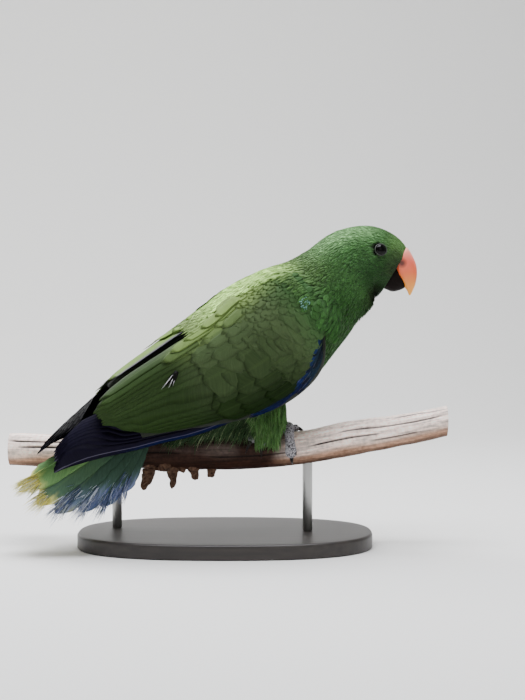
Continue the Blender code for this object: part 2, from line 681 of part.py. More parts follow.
def toe_line(foot_x, toe):
    """A toe's middle line over the branch, from the sole to where the claw begins."""
    lean, turn, radius = toe
    return [grip(foot_x + lean * step, turn * step, GAP + radius * 1.17) for step in np.linspace(0.08, 1.0, 7)]


def foot(foot_x, ankle, toes, limb):
    """A foot that grips the branch: tarsus, sole and four toes, two to each side."""
    ankle = np.array(ankle)
    sole = grip(foot_x, 0, GAP + SOLE_RADIUS)
    made = tube("foot", [ankle, (sole + ankle) / 2 + [0, 0, 1.2], sole], TARSUS_RADII, 10)
    pieces = [ball("sole", sole, SOLE_RADIUS, 5, 9)]
    for toe in toes:
        radius = toe[2]
        pieces.append(tube("toe", toe_line(foot_x, toe), [radius * part for part in TOE_SWELL], 7))
    apply_boolean(made, pieces, "UNION")
    return apply_boolean(made, [thigh(*limb, swell=GAP)], "DIFFERENCE")


def claw(foot_x, toe):
    """A hooked claw that goes on from its toe with a hairline between them."""
    line = toe_line(foot_x, toe)
    way = unit(line[-1] - line[-2])
    inward = unit(branch_point(foot_x + toe[0]) - line[-1])
    start = line[-1] + way * (GAP + 0.1)
    steps = np.linspace(0, 1, 5)
    path = [start + way * CLAW_LENGTH * step + inward * CLAW_HOOK * step ** 2 for step in steps]
    return tube("claw", path, [CLAW_RADIUS * (1 - 0.93 * step) for step in steps], 7)


def thigh(hip, knee, ankle, swell=0.0):
    """A feathered thigh, wide at the hip and drawn in above the foot."""
    hip, knee, ankle = np.array(hip, float), np.array(knee, float), np.array(ankle, float)
    steps = np.linspace(0, 1, 8)
    path = [(1 - step) ** 2 * hip + 2 * step * (1 - step) * knee + step ** 2 * ankle for step in steps]
    path[-1] = path[-1] - [0.0, 0.0, swell]
    rings = []
    for point, reach in zip(path, THIGH_REACH):
        wide, deep = THIGH_WIDE * reach + swell, THIGH_DEEP * reach + swell
        rings.append([point + np.array([wide * math.cos(turn), deep * math.sin(turn), 0.0])
                      for turn in np.radians(np.arange(16) * 22.5)])
    made = loft("thigh", rings)
    return apply_boolean(made, [torso(GAP)], "DIFFERENCE")


def clear_scene():
    """Removes the objects of the scene that the script starts in."""
    for old in list(bpy.data.objects):
        bpy.data.objects.remove(old, do_unlink=True)


def build():
    """Makes every node."""
    clear_scene()
    finish(torso(), "torso", BODY_GREEN, 0.8)
    finish(neck(), "neck", NECK_GREEN, 0.8)
    finish(head(), "head", HEAD_GREEN, 0.8)
    right_eye = eyeball("eye_right", EYE_RADIUS)
    finish(mirrored(right_eye, "eye_left"), "eye_left", EYE_BLACK, 0.08)
    finish(right_eye, "eye_right", EYE_BLACK, 0.08)
    finish(bored_upper_bill(), "upper_bill", BILL_CORAL, 0.4)
    finish(apply_boolean(lower_bill(), [upper_bill(GAP)], "DIFFERENCE"), "lower_bill", BILL_BLACK, 0.45)
    finish(wing(1, 0.0, 0.0, 0.0), "wing_right", WING_GREEN, 0.8)
    finish(wing(-1, LEFT_WING_RISE, LEFT_WING_TOP, LEFT_WING_TUCK), "wing_left", WING_GREEN, 0.8)
    for side, foot_x, ankle, toes, limb in (("right", RIGHT_FOOT_X, RIGHT_ANKLE, RIGHT_TOES, RIGHT_THIGH),
                                            ("left", LEFT_FOOT_X, LEFT_ANKLE, LEFT_TOES, LEFT_THIGH)):
        finish(thigh(*limb), "thigh_" + side, BODY_GREEN, 0.85)
        finish(foot(foot_x, ankle, toes, limb), "foot_" + side, FOOT_GREY, 0.7)
        for number, toe in enumerate(toes, 1):
            finish(claw(foot_x, toe), f"claw_{side}_{number}", CLAW_DARK, 0.35)
    finish(tail(), "tail", TAIL_GREEN, 0.8)
    finish(perch(), "perch", BARK_BROWN, 0.85)
    finish(stand_base(), "stand_base", BASE_DARK, 0.4)
    finish(stand_rod("stand_rod_front", ROD_X[0]), "stand_rod_front", ROD_GREY, 0.3, 1.0)
    finish(stand_rod("stand_rod_rear", ROD_X[1]), "stand_rod_rear", ROD_GREY, 0.3, 1.0)


build()
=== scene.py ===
"""A green male eclectus parrot leaning forward on a cut branch, as a museum would show it."""
import math

import bpy
import numpy as np
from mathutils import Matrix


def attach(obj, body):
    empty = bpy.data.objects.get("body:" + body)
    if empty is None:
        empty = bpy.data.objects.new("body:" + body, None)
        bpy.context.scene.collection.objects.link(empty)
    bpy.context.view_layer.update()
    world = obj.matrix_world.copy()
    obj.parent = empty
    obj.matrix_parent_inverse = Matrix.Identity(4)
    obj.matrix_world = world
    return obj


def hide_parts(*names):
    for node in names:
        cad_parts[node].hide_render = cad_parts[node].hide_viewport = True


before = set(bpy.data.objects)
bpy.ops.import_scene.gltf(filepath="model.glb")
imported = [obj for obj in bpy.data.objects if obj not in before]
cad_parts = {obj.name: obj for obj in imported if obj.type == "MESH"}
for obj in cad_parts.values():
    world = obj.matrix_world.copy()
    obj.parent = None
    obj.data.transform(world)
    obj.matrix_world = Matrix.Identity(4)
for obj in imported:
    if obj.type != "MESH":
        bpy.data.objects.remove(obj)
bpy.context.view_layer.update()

# The picture's view: the camera stands level with the bird's cheek, 1.3 m off its side, and looks
# slightly down. The floor is a pale matt sheet that curves up behind, under broad soft lights.
PHOTO_HEIGHT, PIXEL_SIZE = 700, 0.0008     # pixels, and metres to each in the bird's own plane
CAMERA_PLACE, CAMERA_AIM, SENSOR = (0.030, -1.300, 0.214), (0.030, 0.0, 0.157), 36
SWEEP_BEND, SWEEP_REACH = 0.6, 3.0         # metres
LIGHT_AIM = (0.0, 0.0, 0.14)
LIGHTS = (("sky_light", (0.0, 0.0, 1.3), 1.1, 44.0, "#f6f8ff"),        # place, size, watts and colour
          ("front_light", (0.9, -1.5, 1.0), 1.0, 4.0, "#fff9f0"),
          ("back_light", (-0.9, 0.9, 1.1), 0.9, 15.0, "#ffffff"))


def linear(code):
    """An sRGB hex colour as linear red, green and blue."""
    parts = np.array([int(code[place:place + 2], 16) / 255 for place in (1, 3, 5)])
    return np.where(parts <= 0.04045, parts / 12.92, ((parts + 0.055) / 1.055) ** 2.4)


def fill(node, **values):
    """Sets a node's inputs by name, or as in_0 by number: hex colours turned linear, sockets linked."""
    for name, value in values.items():
        socket = node.inputs[int(name[3:]) if name.startswith("in_") else name.replace("_", " ")]
        if isinstance(value, bpy.types.NodeSocket):
            node.id_data.links.new(value, socket)
        else:
            socket.default_value = (*linear(value), 1) if isinstance(value, str) else value


def add_node(shader, kind, settings=None, out=0, **values):
    """One more node in the shader's tree, its properties set and inputs filled; gives its output."""
    made = shader.id_data.nodes.new("ShaderNode" + kind)
    for name, value in (settings or {}).items():
        setattr(made, name, value)
    fill(made, **values)
    return made.outputs[out]


def new_material(name, colour, roughness, **values):
    """A Principled material and its shader; values go on the shader's own sockets."""
    made = bpy.data.materials.new(name)
    made.use_nodes = True
    shader = made.node_tree.nodes["Principled BSDF"]
    fill(shader, Base_Color=colour, Roughness=roughness, **values)
    return made, shader


def add_object(name, data):
    """An object in the scene, unturned at the origin."""
    made = bpy.data.objects.new(name, data)
    bpy.context.scene.collection.objects.link(made)
    return made


def look(thing, place, target):
    """Stands a camera or lamp at a place and turns its -Z to the target."""
    x, y, z = np.array(place) - target
    thing.location = place
    thing.rotation_euler = (math.atan2(math.hypot(x, y), z), 0, math.atan2(x, -y))
    return math.hypot(x, y, z)


def make_mesh(name, points, faces, surface, uv=None):
    """A mesh object from arrays: points in metres, faces as rows of three or four, uv maps by name."""
    mesh = bpy.data.meshes.new(name)
    points, faces = np.asarray(points, np.float32).reshape(-1, 3), np.asarray(faces, np.int32)
    count, corners = faces.shape
    mesh.vertices.add(len(points))
    mesh.vertices.foreach_set("co", points.ravel())
    mesh.loops.add(count * corners)
    mesh.loops.foreach_set("vertex_index", faces.ravel())
    mesh.polygons.add(count)
    mesh.polygons.foreach_set("loop_start", np.arange(count, dtype=np.int32) * corners)
    mesh.update(calc_edges=True)
    for title, places in (uv or {}).items():
        layer = mesh.uv_layers.new(name=title)
        layer.data.foreach_set("uv", np.asarray(places, np.float32)[faces.ravel()].ravel())
    mesh.polygons.foreach_set("use_smooth", np.ones(count, bool))
    mesh.validate()
    mesh.materials.append(surface)
    return add_object(name, mesh)


def grid_faces(rows, columns, closed=False):
    """Quads of a grid of points, row by row; closed joins the last column to the first."""
    row, column = np.meshgrid(np.arange(rows - 1), np.arange(columns - (not closed)), indexing="ij")
    here, after = row * columns + column, row * columns + (column + 1) % columns
    return np.stack([here, here + columns, after + columns, after], -1).reshape(-1, 4)


# Straight floor, then a quarter circle, then a wall. Matt paper shows as one soft pale tone
turn = np.linspace(0, math.pi / 2, 14)
run = np.concatenate([[-2.6], 0.9 + SWEEP_BEND * np.sin(turn), [0.9 + SWEEP_BEND]])
rise = np.concatenate([[0], SWEEP_BEND - SWEEP_BEND * np.cos(turn), [SWEEP_REACH]])
across = np.array([-SWEEP_REACH, 0.0, SWEEP_REACH])[:, None]
sweep_paint, _ = new_material("matt_paper_sweep", "#e9e8e4", 0.9, Specular_IOR_Level=0.2)
sweep = make_mesh("sweep", np.stack(np.broadcast_arrays(across, run, rise), -1),
                  grid_faces(3, len(run))[:, ::-1], sweep_paint)

camera = add_object("camera", bpy.data.cameras.new("camera"))
camera.data.sensor_width = SENSOR
camera.data.lens = SENSOR * look(camera, CAMERA_PLACE, CAMERA_AIM) / (PIXEL_SIZE * PHOTO_HEIGHT)
bpy.context.scene.camera = camera
for title, place, size, power, tint in LIGHTS:
    lamp = bpy.data.lights.new(title, "AREA")
    lamp.shape, lamp.size, lamp.energy, lamp.color = "SQUARE", size, power, linear(tint)
    look(add_object(title, lamp), place, LIGHT_AIM)
world = bpy.data.worlds.new("studio")
world.use_nodes = True
fill(world.node_tree.nodes["Background"], Color="#e8ecef", Strength=0.32)
bpy.context.scene.world = world

# The bird's body is one soft form from bill to rump: muscle under skin under down. Its surface is a
# squared oval carried along a bent centre line, the same that the solids follow, in millimetres.
MM = 0.001
STATION = (-108, -102, -88, -72, -49, -25, 0, 27, 57, 96, 134, 175, 213, 249)
LINE_X = (142.5, 137.5, 120.5, 104.4, 86.7, 68.9, 48.8, 28.0, 4.2, -29.6, -62.1, -96.5, -126.7, -151.4)
LINE_Y = (9.7, 9.7, 9.7, 9.5, 8.5, 6.0, 2.0, -3.2, -9.6, -18.9, -27.9, -37.5, -46.0, -53.0)
LINE_Z = (221.5, 224.6, 229.0, 225.0, 210.5, 194.5, 179.4, 161.9, 145.5, 127.0, 111.1, 92.4, 72.2, 49.8)
BODY_REACHES = ((8, 16.5, 26.2, 30.7, 33.5, 39.5, 46, 49, 44, 36, 25, 16, 10, 6),        # up
                (12, 20.5, 27.8, 31.2, 34, 40, 46.7, 47, 41, 33, 24, 16, 10, 6),         # down
                (6, 13, 24, 26.5, 29.5, 34, 39, 40.5, 39, 33, 22, 14, 10, 8))            # to each side
WING_REACHES = ((10, 18, 26, 30.7, 34, 43, 49, 51.5, 48, 43, 36.5, 28, 21, 15),
                (10, 18, 26, 30.6, 35, 45, 52, 54, 52, 46, 36.5, 26, 14, 8),
                (6, 13, 24, 27, 30, 38.5, 45, 47.5, 47, 43, 36, 28, 20, 14))
BODY_POWER, WING_POWER = 2.35, 3.2         # 2 is an oval, more is squarer
FACE_START, RUMP_END = -103.0, 137         # where the face feathers end against the bill, and the skin's end
DOWN_DEPTH = 1.3                           # from the feathers' surface to the skin
SKIN_SIDES = 72
# The crown's light green is a painted highlight along the top of the head
HEAD_GREEN, CROWN_HIGHLIGHT_GREEN, CHEEK_GREEN, FOREHEAD_GREEN = "#3a6130", "#7cad6d", "#1d3c19", "#5b8143"
# The mantle's pale yellow-green is partly its own colour and partly a painted highlight along the top of the
# back
THROAT_BROWN, LORE_BROWN, NAPE_GREEN, MANTLE_GREEN_AND_HIGHLIGHT = "#20290d", "#2c3320", "#425a2a", "#b0db73"
BREAST_GREEN, RUMP_GREEN, VENT_GREEN = "#294f1f", "#3a5923", "#7f9a5c"


def smooth(at, knots, values):
    """A cubic through the knots, each knot's slope taken from its neighbours."""
    at, knots, values = (np.asarray(numbers, float) for numbers in (at, knots, values))
    slope = np.gradient(values, knots)
    place = np.clip(np.searchsorted(knots, at) - 1, 0, len(knots) - 2)
    span = knots[place + 1] - knots[place]
    t = (at - knots[place]) / span
    start = (2 * t ** 3 - 3 * t ** 2 + 1) * values[place] + (t ** 3 - 2 * t ** 2 + t) * span * slope[place]
    end = (3 * t ** 2 - 2 * t ** 3) * values[place + 1] + (t ** 3 - t ** 2) * span * slope[place + 1]
    return start + end


def unit(vectors):
    """The vectors at length one."""
    return vectors / np.maximum(np.linalg.norm(vectors, axis=-1, keepdims=True), 1e-9)


# The centre line read every half millimetre, with its up and right directions
LINE_AT = np.arange(-112, 262, 0.5)
LINE, ahead = (np.stack([smooth(at, STATION, line) for line in (LINE_X, LINE_Y, LINE_Z)], -1)
               for at in (LINE_AT, LINE_AT - 2))
forward = unit(ahead - LINE)
RIGHT = unit(np.cross(forward, [0.0, 0.0, 1.0]))
ABOVE = np.cross(RIGHT, forward)
BODY, WING = ([smooth(LINE_AT, STATION, reach) for reach in reaches] + [power]
              for reaches, power in ((BODY_REACHES, BODY_POWER), (WING_REACHES, WING_POWER)))


def read_line(table, station):
    """A table of the centre line at any stations."""
    return np.stack([np.interp(station, LINE_AT, table[:, axis]) for axis in range(3)], -1)


def squared(turn, power):
    """Cosine and sine with their signs, their sizes raised to 2 / power: a circle squared off."""
    return [np.sign(value) * np.abs(value) ** (2 / power) for value in (np.cos(turn), np.sin(turn))]


def on_form(form, station, angle, lift=0.0):
    """Points in metres on a form: middle + up * reach * cos + right * reach * sin, both squared off."""
    station, angle, lift = np.broadcast_arrays(np.asarray(station, float), angle, lift)
    up, down, half = (np.interp(station, LINE_AT, reach) + lift for reach in form[:3])
    cosine, sine = squared(np.radians(angle), form[3])
    rise, run = cosine * np.where(cosine > 0, up, down), sine * half
    return MM * (read_line(LINE, station) + read_line(ABOVE, station) * rise[..., None]
                 + read_line(RIGHT, station) * run[..., None])


def mm_per_degree(form, station):
    """How far one degree round a form is at its side."""
    return np.interp(station, LINE_AT, form[2]) * math.pi / 180


def blend(low, high, value):
    """0 at low, 1 at high, a smooth rise between."""
    t = np.clip((value - low) / (high - low), 0, 1)
    return t * t * (3 - 2 * t)


def painted(code, *shape):
    """A hex colour, linear, over an array's shape."""
    return np.broadcast_to(linear(code), shape + (3,))


def mix(base, other, share):
    """Linear colours mixed with a hex colour by a share each."""
    return base + (linear(other) - base) * np.asarray(share)[..., None]


def coat_colour(station, angle):
    """The coat's green at a place: each zone is mixed in by smooth steps along and round the body."""
    station, angle = np.broadcast_arrays(np.asarray(station, float), np.abs(angle))
    # Painted highlight: a lighter green along the top of the head
    crown = 0.8 * blend(70, 30, angle) * blend(-92, -80, station)
    colour = mix(painted(HEAD_GREEN, *station.shape), CROWN_HIGHLIGHT_GREEN, crown)
    colour = mix(colour, FOREHEAD_GREEN, 0.7 * blend(-88, -98, station) * blend(95, 60, angle))
    colour = mix(colour, CHEEK_GREEN, 0.8 * blend(65, 105, angle) * blend(-55, -80, station))
    lore = 0.55 * blend(-90, -99, station) * blend(45, 68, angle) * blend(122, 100, angle)
    throat = 0.75 * blend(120, 150, angle) * blend(-100, -88, station) * blend(-44, -70, station)
    colour = mix(mix(colour, LORE_BROWN, lore), THROAT_BROWN, throat)
    colour = mix(colour, NAPE_GREEN, 0.8 * blend(-72, -35, station) * blend(105, 45, angle))
    colour = mix(colour, BREAST_GREEN, blend(-64, -38, station) * blend(70, 110, angle))
    wider = blend(0, 45, station)
    # The mantle's yellow-green, brightened along the top of the back as a painted highlight
    mantle = blend(-44, -4, station) * blend(62 + 18 * wider, 22 + 23 * wider, angle)
    colour = mix(colour, MANTLE_GREEN_AND_HIGHLIGHT, mantle)
    colour = mix(colour, RUMP_GREEN, blend(75, 105, station) * blend(90, 60, angle))
    return mix(colour, VENT_GREEN, 0.7 * blend(60, 105, station) * blend(105, 140, angle))


def set_tint(shape, colours):
    """Stores a linear colour for each point of a piece."""
    colours = np.insert(colours.reshape(-1, 3), 3, 1, 1).astype(np.float32)
    shape.data.color_attributes.new("tint", "FLOAT_COLOR", "POINT").data.foreach_set("color", colours.ravel())


def capped(grid):
    """A closed mesh from rings: their quads as triangles and a fan over each end."""
    rows, sides = grid.shape[:2]
    points = np.vstack([grid.reshape(-1, 3), grid[0].mean(0), grid[-1].mean(0)])
    quads = grid_faces(rows, sides, True)
    ring = np.arange(sides)
    after, low = (ring + 1) % sides, (rows - 1) * sides
    faces = np.vstack([quads[:, [0, 1, 2]], quads[:, [0, 2, 3]],
                       np.stack([np.full(sides, rows * sides), ring, after], -1),
                       np.stack([np.full(sides, rows * sides + 1), low + after, low + ring], -1)])
    return points, faces


def outward(points, faces):
    """The faces turned so that the closed mesh's volume comes out positive."""
    a, b, c = (points[faces[:, corner]] - points.mean(0) for corner in (0, 1, 2))
    return faces if np.einsum("ij,ij->i", a, np.cross(b, c)).sum() > 0 else faces[:, ::-1]


def closed_piece(name, grid, surface, uv=None):
    """A capped mesh from rings in metres, its faces turned outwards."""
    points, faces = capped(grid)
    return make_mesh(name, points, outward(points, faces), surface, uv)


def tinted(shader, factor):
    """The piece's own tint, made darker or lighter."""
    tint = add_node(shader, "Attribute", {"attribute_name": "tint"})
    return add_node(shader, "VectorMath", {"operation": "SCALE"}, in_0=tint, Scale=factor)


# Skin seen between feathers: their green at less than half its brightness, a painted shade so that gaps read
# as depth
skin_surface, skin_shader = new_material("down_covered_skin", "#2c4a20", 0.9)
fill(skin_shader, Base_Color=tinted(skin_shader, 0.45))

face_steps = FACE_START + np.array([0, 0.6, 1.6, 4])       # the skin narrows where it dips into the bill
skin_at = np.concatenate([face_steps[:3], np.linspace(-100, 90, 116),
                          RUMP_END - 47 * np.cos(np.linspace(0.1, 1, 18) * 1.55)])
skin_round = np.sqrt(np.clip(1 - (np.clip(skin_at - 91, 0, 47) / 46.5) ** 2, 0.0004, 1))
skin_round = skin_round * np.interp(skin_at, face_steps, (0.8, 0.88, 0.95, 1))
at, turn = np.meshgrid(skin_at, np.arange(SKIN_SIDES) * 360 / SKIN_SIDES, indexing="ij")
middle = MM * read_line(LINE, at)
ring = middle + (on_form(BODY, at, turn, -DOWN_DEPTH) - middle) * skin_round[:, None, None]
skin_uv = np.vstack([np.stack([(at + 108) / 250, turn / 360], -1).reshape(-1, 2), [[0, 0.5], [0.98, 0.5]]])
body_skin = closed_piece("body_skin", ring, skin_surface, {"OFBake": skin_uv})
set_tint(body_skin, coat_colour(np.append(at, [FACE_START, RUMP_END]),
                                np.append(np.where(turn > 180, turn - 360, turn), [0, 0])))
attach(body_skin, "root")
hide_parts("head", "neck", "torso")

# Contour feathers cover head, neck, breast, back and belly in close staggered rows, each a thin
# narrow vane rooted under the one before it. They are 2 mm long at the bill and 14 mm on the back.
FEATHER_LENGTH_AT = (-103, -96, -84, -63, -40, 0, 50, 137)
FEATHER_LENGTH = (2.0, 2.7, 3.8, 6.0, 9.0, 12.0, 13.5, 17)
TIP_LIFT_AT, TIP_LIFT = (-103, -80, -40, 20, 137), (0.22, 0.3, 0.5, 0.65, 0.9)
WING_EDGE_AT = (-24, -8, 15, 40, 70, 105, 146)
WING_TOP_EDGE, WING_LOW_EDGE = (50, 34, 24, 24, 30, 34, 32), (84, 122, 146, 150, 136, 122, 112)    # degrees
LEFT_TOP = 50.0                   # the far wing reaches so many degrees further over the back
EYE_CENTRE, EYE_CLEAR = (122.0, -9.5, 236.3), 6.2       # mm; no feather is rooted nearer to it than that
BAKE_PATCH = 0.003                # one vane's size on the unwrapped bake map
draw = np.random.default_rng(11)  # every random number of the coat comes from here, in this order


def maths(shader, operation, *numbers):
    """A sum, product or such of numbers and sockets."""
    return add_node(shader, "Math", {"operation": operation},
                    **{f"in_{place}": number for place, number in enumerate(numbers)})


def ranged(shader, value, start, end, low=0.0, high=1.0):
    """A value from start to end turned into one from low to high, and held there beyond."""
    return add_node(shader, "MapRange", Value=value, From_Min=start, From_Max=end, To_Min=low, To_Max=high)


def two_tone(shader, share, low, high):
    """Colours the surface between two hex colours, or sockets, by a share."""
    mixed = add_node(shader, "Mix", {"data_type": "RGBA"}, "Result", Factor=share, A=low, B=high)
    fill(shader, Base_Color=mixed)


def bumpy(shader, height, distance, strength, **settings):
    """Gives the surface fine relief from a height."""
    relief = add_node(shader, "Bump", settings, Height=height, Distance=distance, Strength=strength)
    fill(shader, Normal=relief)


def plumage_material(name, roughness, streak, shaft="#6c8a4a", shaft_share=0.25, depth=0.25, vary=0.08,
                     **values):
    """Feather keratin: coloured barbs that lie in a herringbone each side of the shaft.

    The colour is the piece's own tint; each vane differs a little, is darker at its root as painted shade,
    takes the shaft's colour down its middle, and its barbs are drawn 0.9 mm apart, coarser than real so
    that they show.
    """
    made, shader = new_material(name, "#507838", roughness, **values)
    lie = add_node(shader, "Attribute", {"attribute_name": "lie"}, "Vector")
    along, beside, own = add_node(shader, "SeparateXYZ", out=slice(None), in_0=lie)
    vane = add_node(shader, "UVMap", {"uv_map": "Vane"})
    side, down, _ = add_node(shader, "SeparateXYZ", out=slice(None), in_0=vane)
    side = maths(shader, "ABSOLUTE", side)
    place = add_node(shader, "CombineXYZ", X=maths(shader, "MULTIPLY_ADD", side, -1.3, down), Y=side, Z=own)
    place = add_node(shader, "Mapping", Vector=place, Scale=(110.0, 22.0, 40.0))
    barbs = add_node(shader, "TexNoise", Vector=place, Scale=1.0, Detail=3.0, Roughness=0.65)
    # Darker towards each vane's root: painted shade
    value = maths(shader, "MULTIPLY", ranged(shader, barbs, 0.3, 0.7, 1 - streak, 1 + streak),
                  ranged(shader, along, 0.0, 0.75, 1 - depth, 1.04))
    value = maths(shader, "MULTIPLY", value, ranged(shader, own, 0.0, 1.0, 1 - vary, 1 + vary))
    shaft_line = ranged(shader, maths(shader, "ABSOLUTE", beside), 0.03, 0.1, shaft_share, 0.0)
    two_tone(shader, shaft_line, tinted(shader, value), shaft)
    bumpy(shader, barbs, 0.0002, 0.5)
    return made


# Soft barbs that vary from feather to feather make a matt, tousled coat; the wing's coverts are
# smoother and more even, its vanes firm with a faint shaft, and the dark primaries show a pale shaft
contour_plumage = plumage_material("contour_feather_soft_barbs", 0.75, 0.3, shaft_share=0.0, depth=0.4,
                                   vary=0.16, Specular_IOR_Level=0.15, Sheen_Weight=0.03)
covert_plumage = plumage_material("wing_covert_smooth_barbs", 0.62, 0.16, shaft_share=0.04, depth=0.06,
                                  vary=0.035, Specular_IOR_Level=0.07)
vane_plumage = plumage_material("flight_feather_zipped_vane", 0.55, 0.2, shaft_share=0.12,
                                Specular_IOR_Level=0.08)
dark_plumage = plumage_material("primary_feather_with_pale_shaft", 0.6, 0.3, "#88839a", 0.28,
                                Specular_IOR_Level=0.06)


def bake_place(station, angle):
    """Where a root lies on the unwrapped body."""
    return np.stack([(station + 115) / 400, (angle % 360) / 360], -1)


def coat_piece(name, points, faces, surface, bake, vane, lie, colours):
    """A coat's mesh with its patches for baking, its barbs' places in mm, its lie and its tint."""
    uv = {"OFBake": bake.reshape(-1, 2), "Vane": vane.reshape(-1, 2) / 100}
    shape = make_mesh(name, points, faces, surface, uv)
    lie = lie.astype(np.float32).ravel()
    shape.data.attributes.new("lie", "FLOAT_VECTOR", "POINT").data.foreach_set("vector", lie)
    set_tint(shape, colours)
    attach(shape, "root")
    return shape


def vane_faces(rows, columns):
    """Faces of one closed vane: an upper grid and a lower one that share their rim."""
    upper = np.arange(rows * columns).reshape(rows, columns)
    lower = upper.copy()
    lower[1:-1, 1:-1] = rows * columns + np.arange((rows - 2) * (columns - 2)).reshape(rows - 2, columns - 2)
    upper, lower = (np.stack([grid[:-1, :-1], grid[1:, :-1], grid[1:, 1:], grid[:-1, 1:]], -1).reshape(-1, 4)
                    for grid in (upper, lower))
    return np.vstack([upper, lower[:, ::-1]])


def lay_feathers(name, place, station, angle, lift, half, colours, surface, degree, columns=5, mirrored=False,
                 tilt=0.0, crown=0.1, thick=0.12, tip_round=0.12, edge=1.0):
    """Many vanes in one mesh. Each is a grid in (station, angle, lift): its middle line is given at each
    row, its edges stand half a width to each side, crowned in the middle and closed by a lower face.

    place(station, angle, lift) gives points and degree is the millimetres in one of angle; the other
    arrays have one row for each vane.
    """
    count, rows = station.shape
    along, across = np.linspace(0, 1, rows)[:, None], np.linspace(-1, 1, columns)
    length = (station[:, -1] - station[:, 0])[:, None, None]
    pull = tip_round * np.clip((along - 0.6) / 0.4, 0, 1) ** 2
    wide = half[:, :, None] * across * edge

    def both(grid):
        """A grid's values for the upper points, then for the lower ones, which have no rim of their own."""
        grid = np.broadcast_to(grid, (count, rows, columns) + grid.shape[3:])
        return np.concatenate([part.reshape((count, -1) + grid.shape[3:])
                               for part in (grid, grid[:, 1:-1, 1:-1])], 1)

    reach = both(station[:, :, None] - length * pull * np.abs(across) ** 1.5)
    turned = both(angle[:, :, None] + wide / degree)
    raised = both(lift[:, :, None] + tilt * across + crown * (1 - across ** 2))
    each = raised.shape[1]
    points = place(reach, turned, raised - thick * (np.arange(each) >= rows * columns))
    faces = vane_faces(rows, columns)[:, ::-1 if mirrored else 1] + (np.arange(count) * each)[:, None, None]
    share, beside = both(along), both(across)
    bake = bake_place(station[:, 0], angle[:, 0])[:, None] + BAKE_PATCH * np.stack([share, beside / 2], -1)
    vane = np.stack([both(wide), both(length * along)], -1)
    lie = np.stack([share, beside, both(draw.random(count)[:, None, None])], -1)
    tints = both(colours if colours.ndim == 4 else colours[:, None, None])
    return coat_piece(name, points, faces.reshape(-1, 4), surface, bake, vane, lie, tints)


def staggered(starts, row_angles):
    """Roots in rows: row_angles(start, row) gives one row's angles."""
    rows = [row_angles(start, row) for row, start in enumerate(starts)]
    return np.repeat(starts, [angles.size for angles in rows]), np.concatenate(rows)


def wing_edge(station, edge):
    """The angle of the folded wing's upper or lower edge."""
    return smooth(np.clip(station, WING_EDGE_AT[0], WING_EDGE_AT[-1]), WING_EDGE_AT, edge)


def contour(name, start, end, spacing_share, width_share, rows):
    """One length of the body's contour feathers, closer where they are shorter, none under a folded wing."""
    def spacing_at(station):
        return spacing_share * np.interp(station, FEATHER_LENGTH_AT, FEATHER_LENGTH)

    def row_angles(station, row):
        girth = math.pi * (np.interp(station, LINE_AT, BODY[2]) + np.interp(station, LINE_AT, BODY[0]))
        number = max(12, int(girth / (spacing_at(station) * 1.05)))
        return (np.arange(number) + 0.5 * (row % 2)) * 360 / number

    starts = [start]
    while starts[-1] + spacing_at(starts[-1]) * 0.9 < end:
        starts.append(starts[-1] + spacing_at(starts[-1]) * 0.9)
    station, angle = staggered(starts, row_angles)
    spacing = spacing_at(station)
    station = station + draw.normal(0, 0.22, station.size) * spacing
    angle = (angle + draw.normal(0, 0.2, angle.size) * spacing / 0.55 + 180) % 360 - 180

    top, low = wing_edge(station, WING_TOP_EDGE) + 12, wing_edge(station, WING_LOW_EDGE) - 14
    top_left = top - LEFT_TOP * np.clip((station - 40) / 40, 0, 1)
    covered = (station > -6) & ((angle > top) & (angle < low) | (-angle > top_left) & (-angle < low))
    eye_gap = np.linalg.norm(on_form(BODY, station, np.abs(angle)) / MM - EYE_CENTRE, axis=-1)
    seen = ~covered & (eye_gap > EYE_CLEAR)
    station, angle = station[seen], angle[seen]
    number, along = station.size, np.linspace(0, 1, rows)
    length = np.interp(station, FEATHER_LENGTH_AT, FEATHER_LENGTH) * draw.normal(1, 0.1, number)
    degree = mm_per_degree(BODY, station)
    lean = draw.normal(0, 0.12, number)
    tip = np.interp(station, TIP_LIFT_AT, TIP_LIFT) * draw.normal(1, 0.25, number)
    beard = 2.6 + 1.8 * blend(-84, -93, station)
    beard = beard * blend(125, 165, np.abs(angle)) * blend(-104, -97, station) * blend(-42, -60, station)
    line = station[:, None] + length[:, None] * along * 0.98
    turn = angle[:, None] + (lean * length / degree)[:, None] * along
    lift = -0.9 * tip[:, None] + (1.9 * tip + beard)[:, None] * along ** 0.8 - 0.25
    half = (length * width_share / 2)[:, None] * np.interp(along, (0, 0.35, 0.7, 1), (0.5, 1.0, 0.9, 0.18))
    shade = np.clip(draw.normal(1, 0.16, number), 0.6, 1.5)[:, None]
    colours = coat_colour(station + length * 0.7, angle) * shade
    piece = lay_feathers(name, lambda *places: on_form(BODY, *places), line, turn, lift, half, colours,
                         contour_plumage, degree[:, None, None], 3, crown=0.12, thick=0.1, tip_round=0.1)


contour("feathers_face", -102.6, -84, 0.34, 0.42, 4)
contour("feathers_head", -84, -61, 0.27, 0.36, 4)
contour("feathers_neck", -62, -18, 0.2, 0.27, 4)
contour("feathers_body", -20, 126, 0.18, 0.3, 5)
contour("feathers_tail_coverts", 124, 150, 0.2, 0.42, 6)

# The eyes are dark wet balls sunk in the sides of the head. The lids' rims are bare grey skin, a ring
# of tiny beads round each eye that stands square to the body's form there.
EYE_RADIUS, CORNEA_BULGE, LID_RADIUS, BEAD_RADIUS = 6.0, 0.25, 4.75, 0.36
LID_HEIGHT, BEADS = 0.45, 30               # the rim's height over the body's form, and its beads
HEAD_MIDDLE_Y = 9.7                        # the left side of the head mirrors the right about it


def grain(shader, scale, detail, stretch=None, roughness=0.5):
    """Noise in the piece's own metres, drawn out by a stretch."""
    place = add_node(shader, "TexCoord", out="Object")
    if stretch:
        place = add_node(shader, "Mapping", Vector=place, Scale=stretch)
    return add_node(shader, "TexNoise", Vector=place, Scale=scale, Detail=detail, Roughness=roughness)


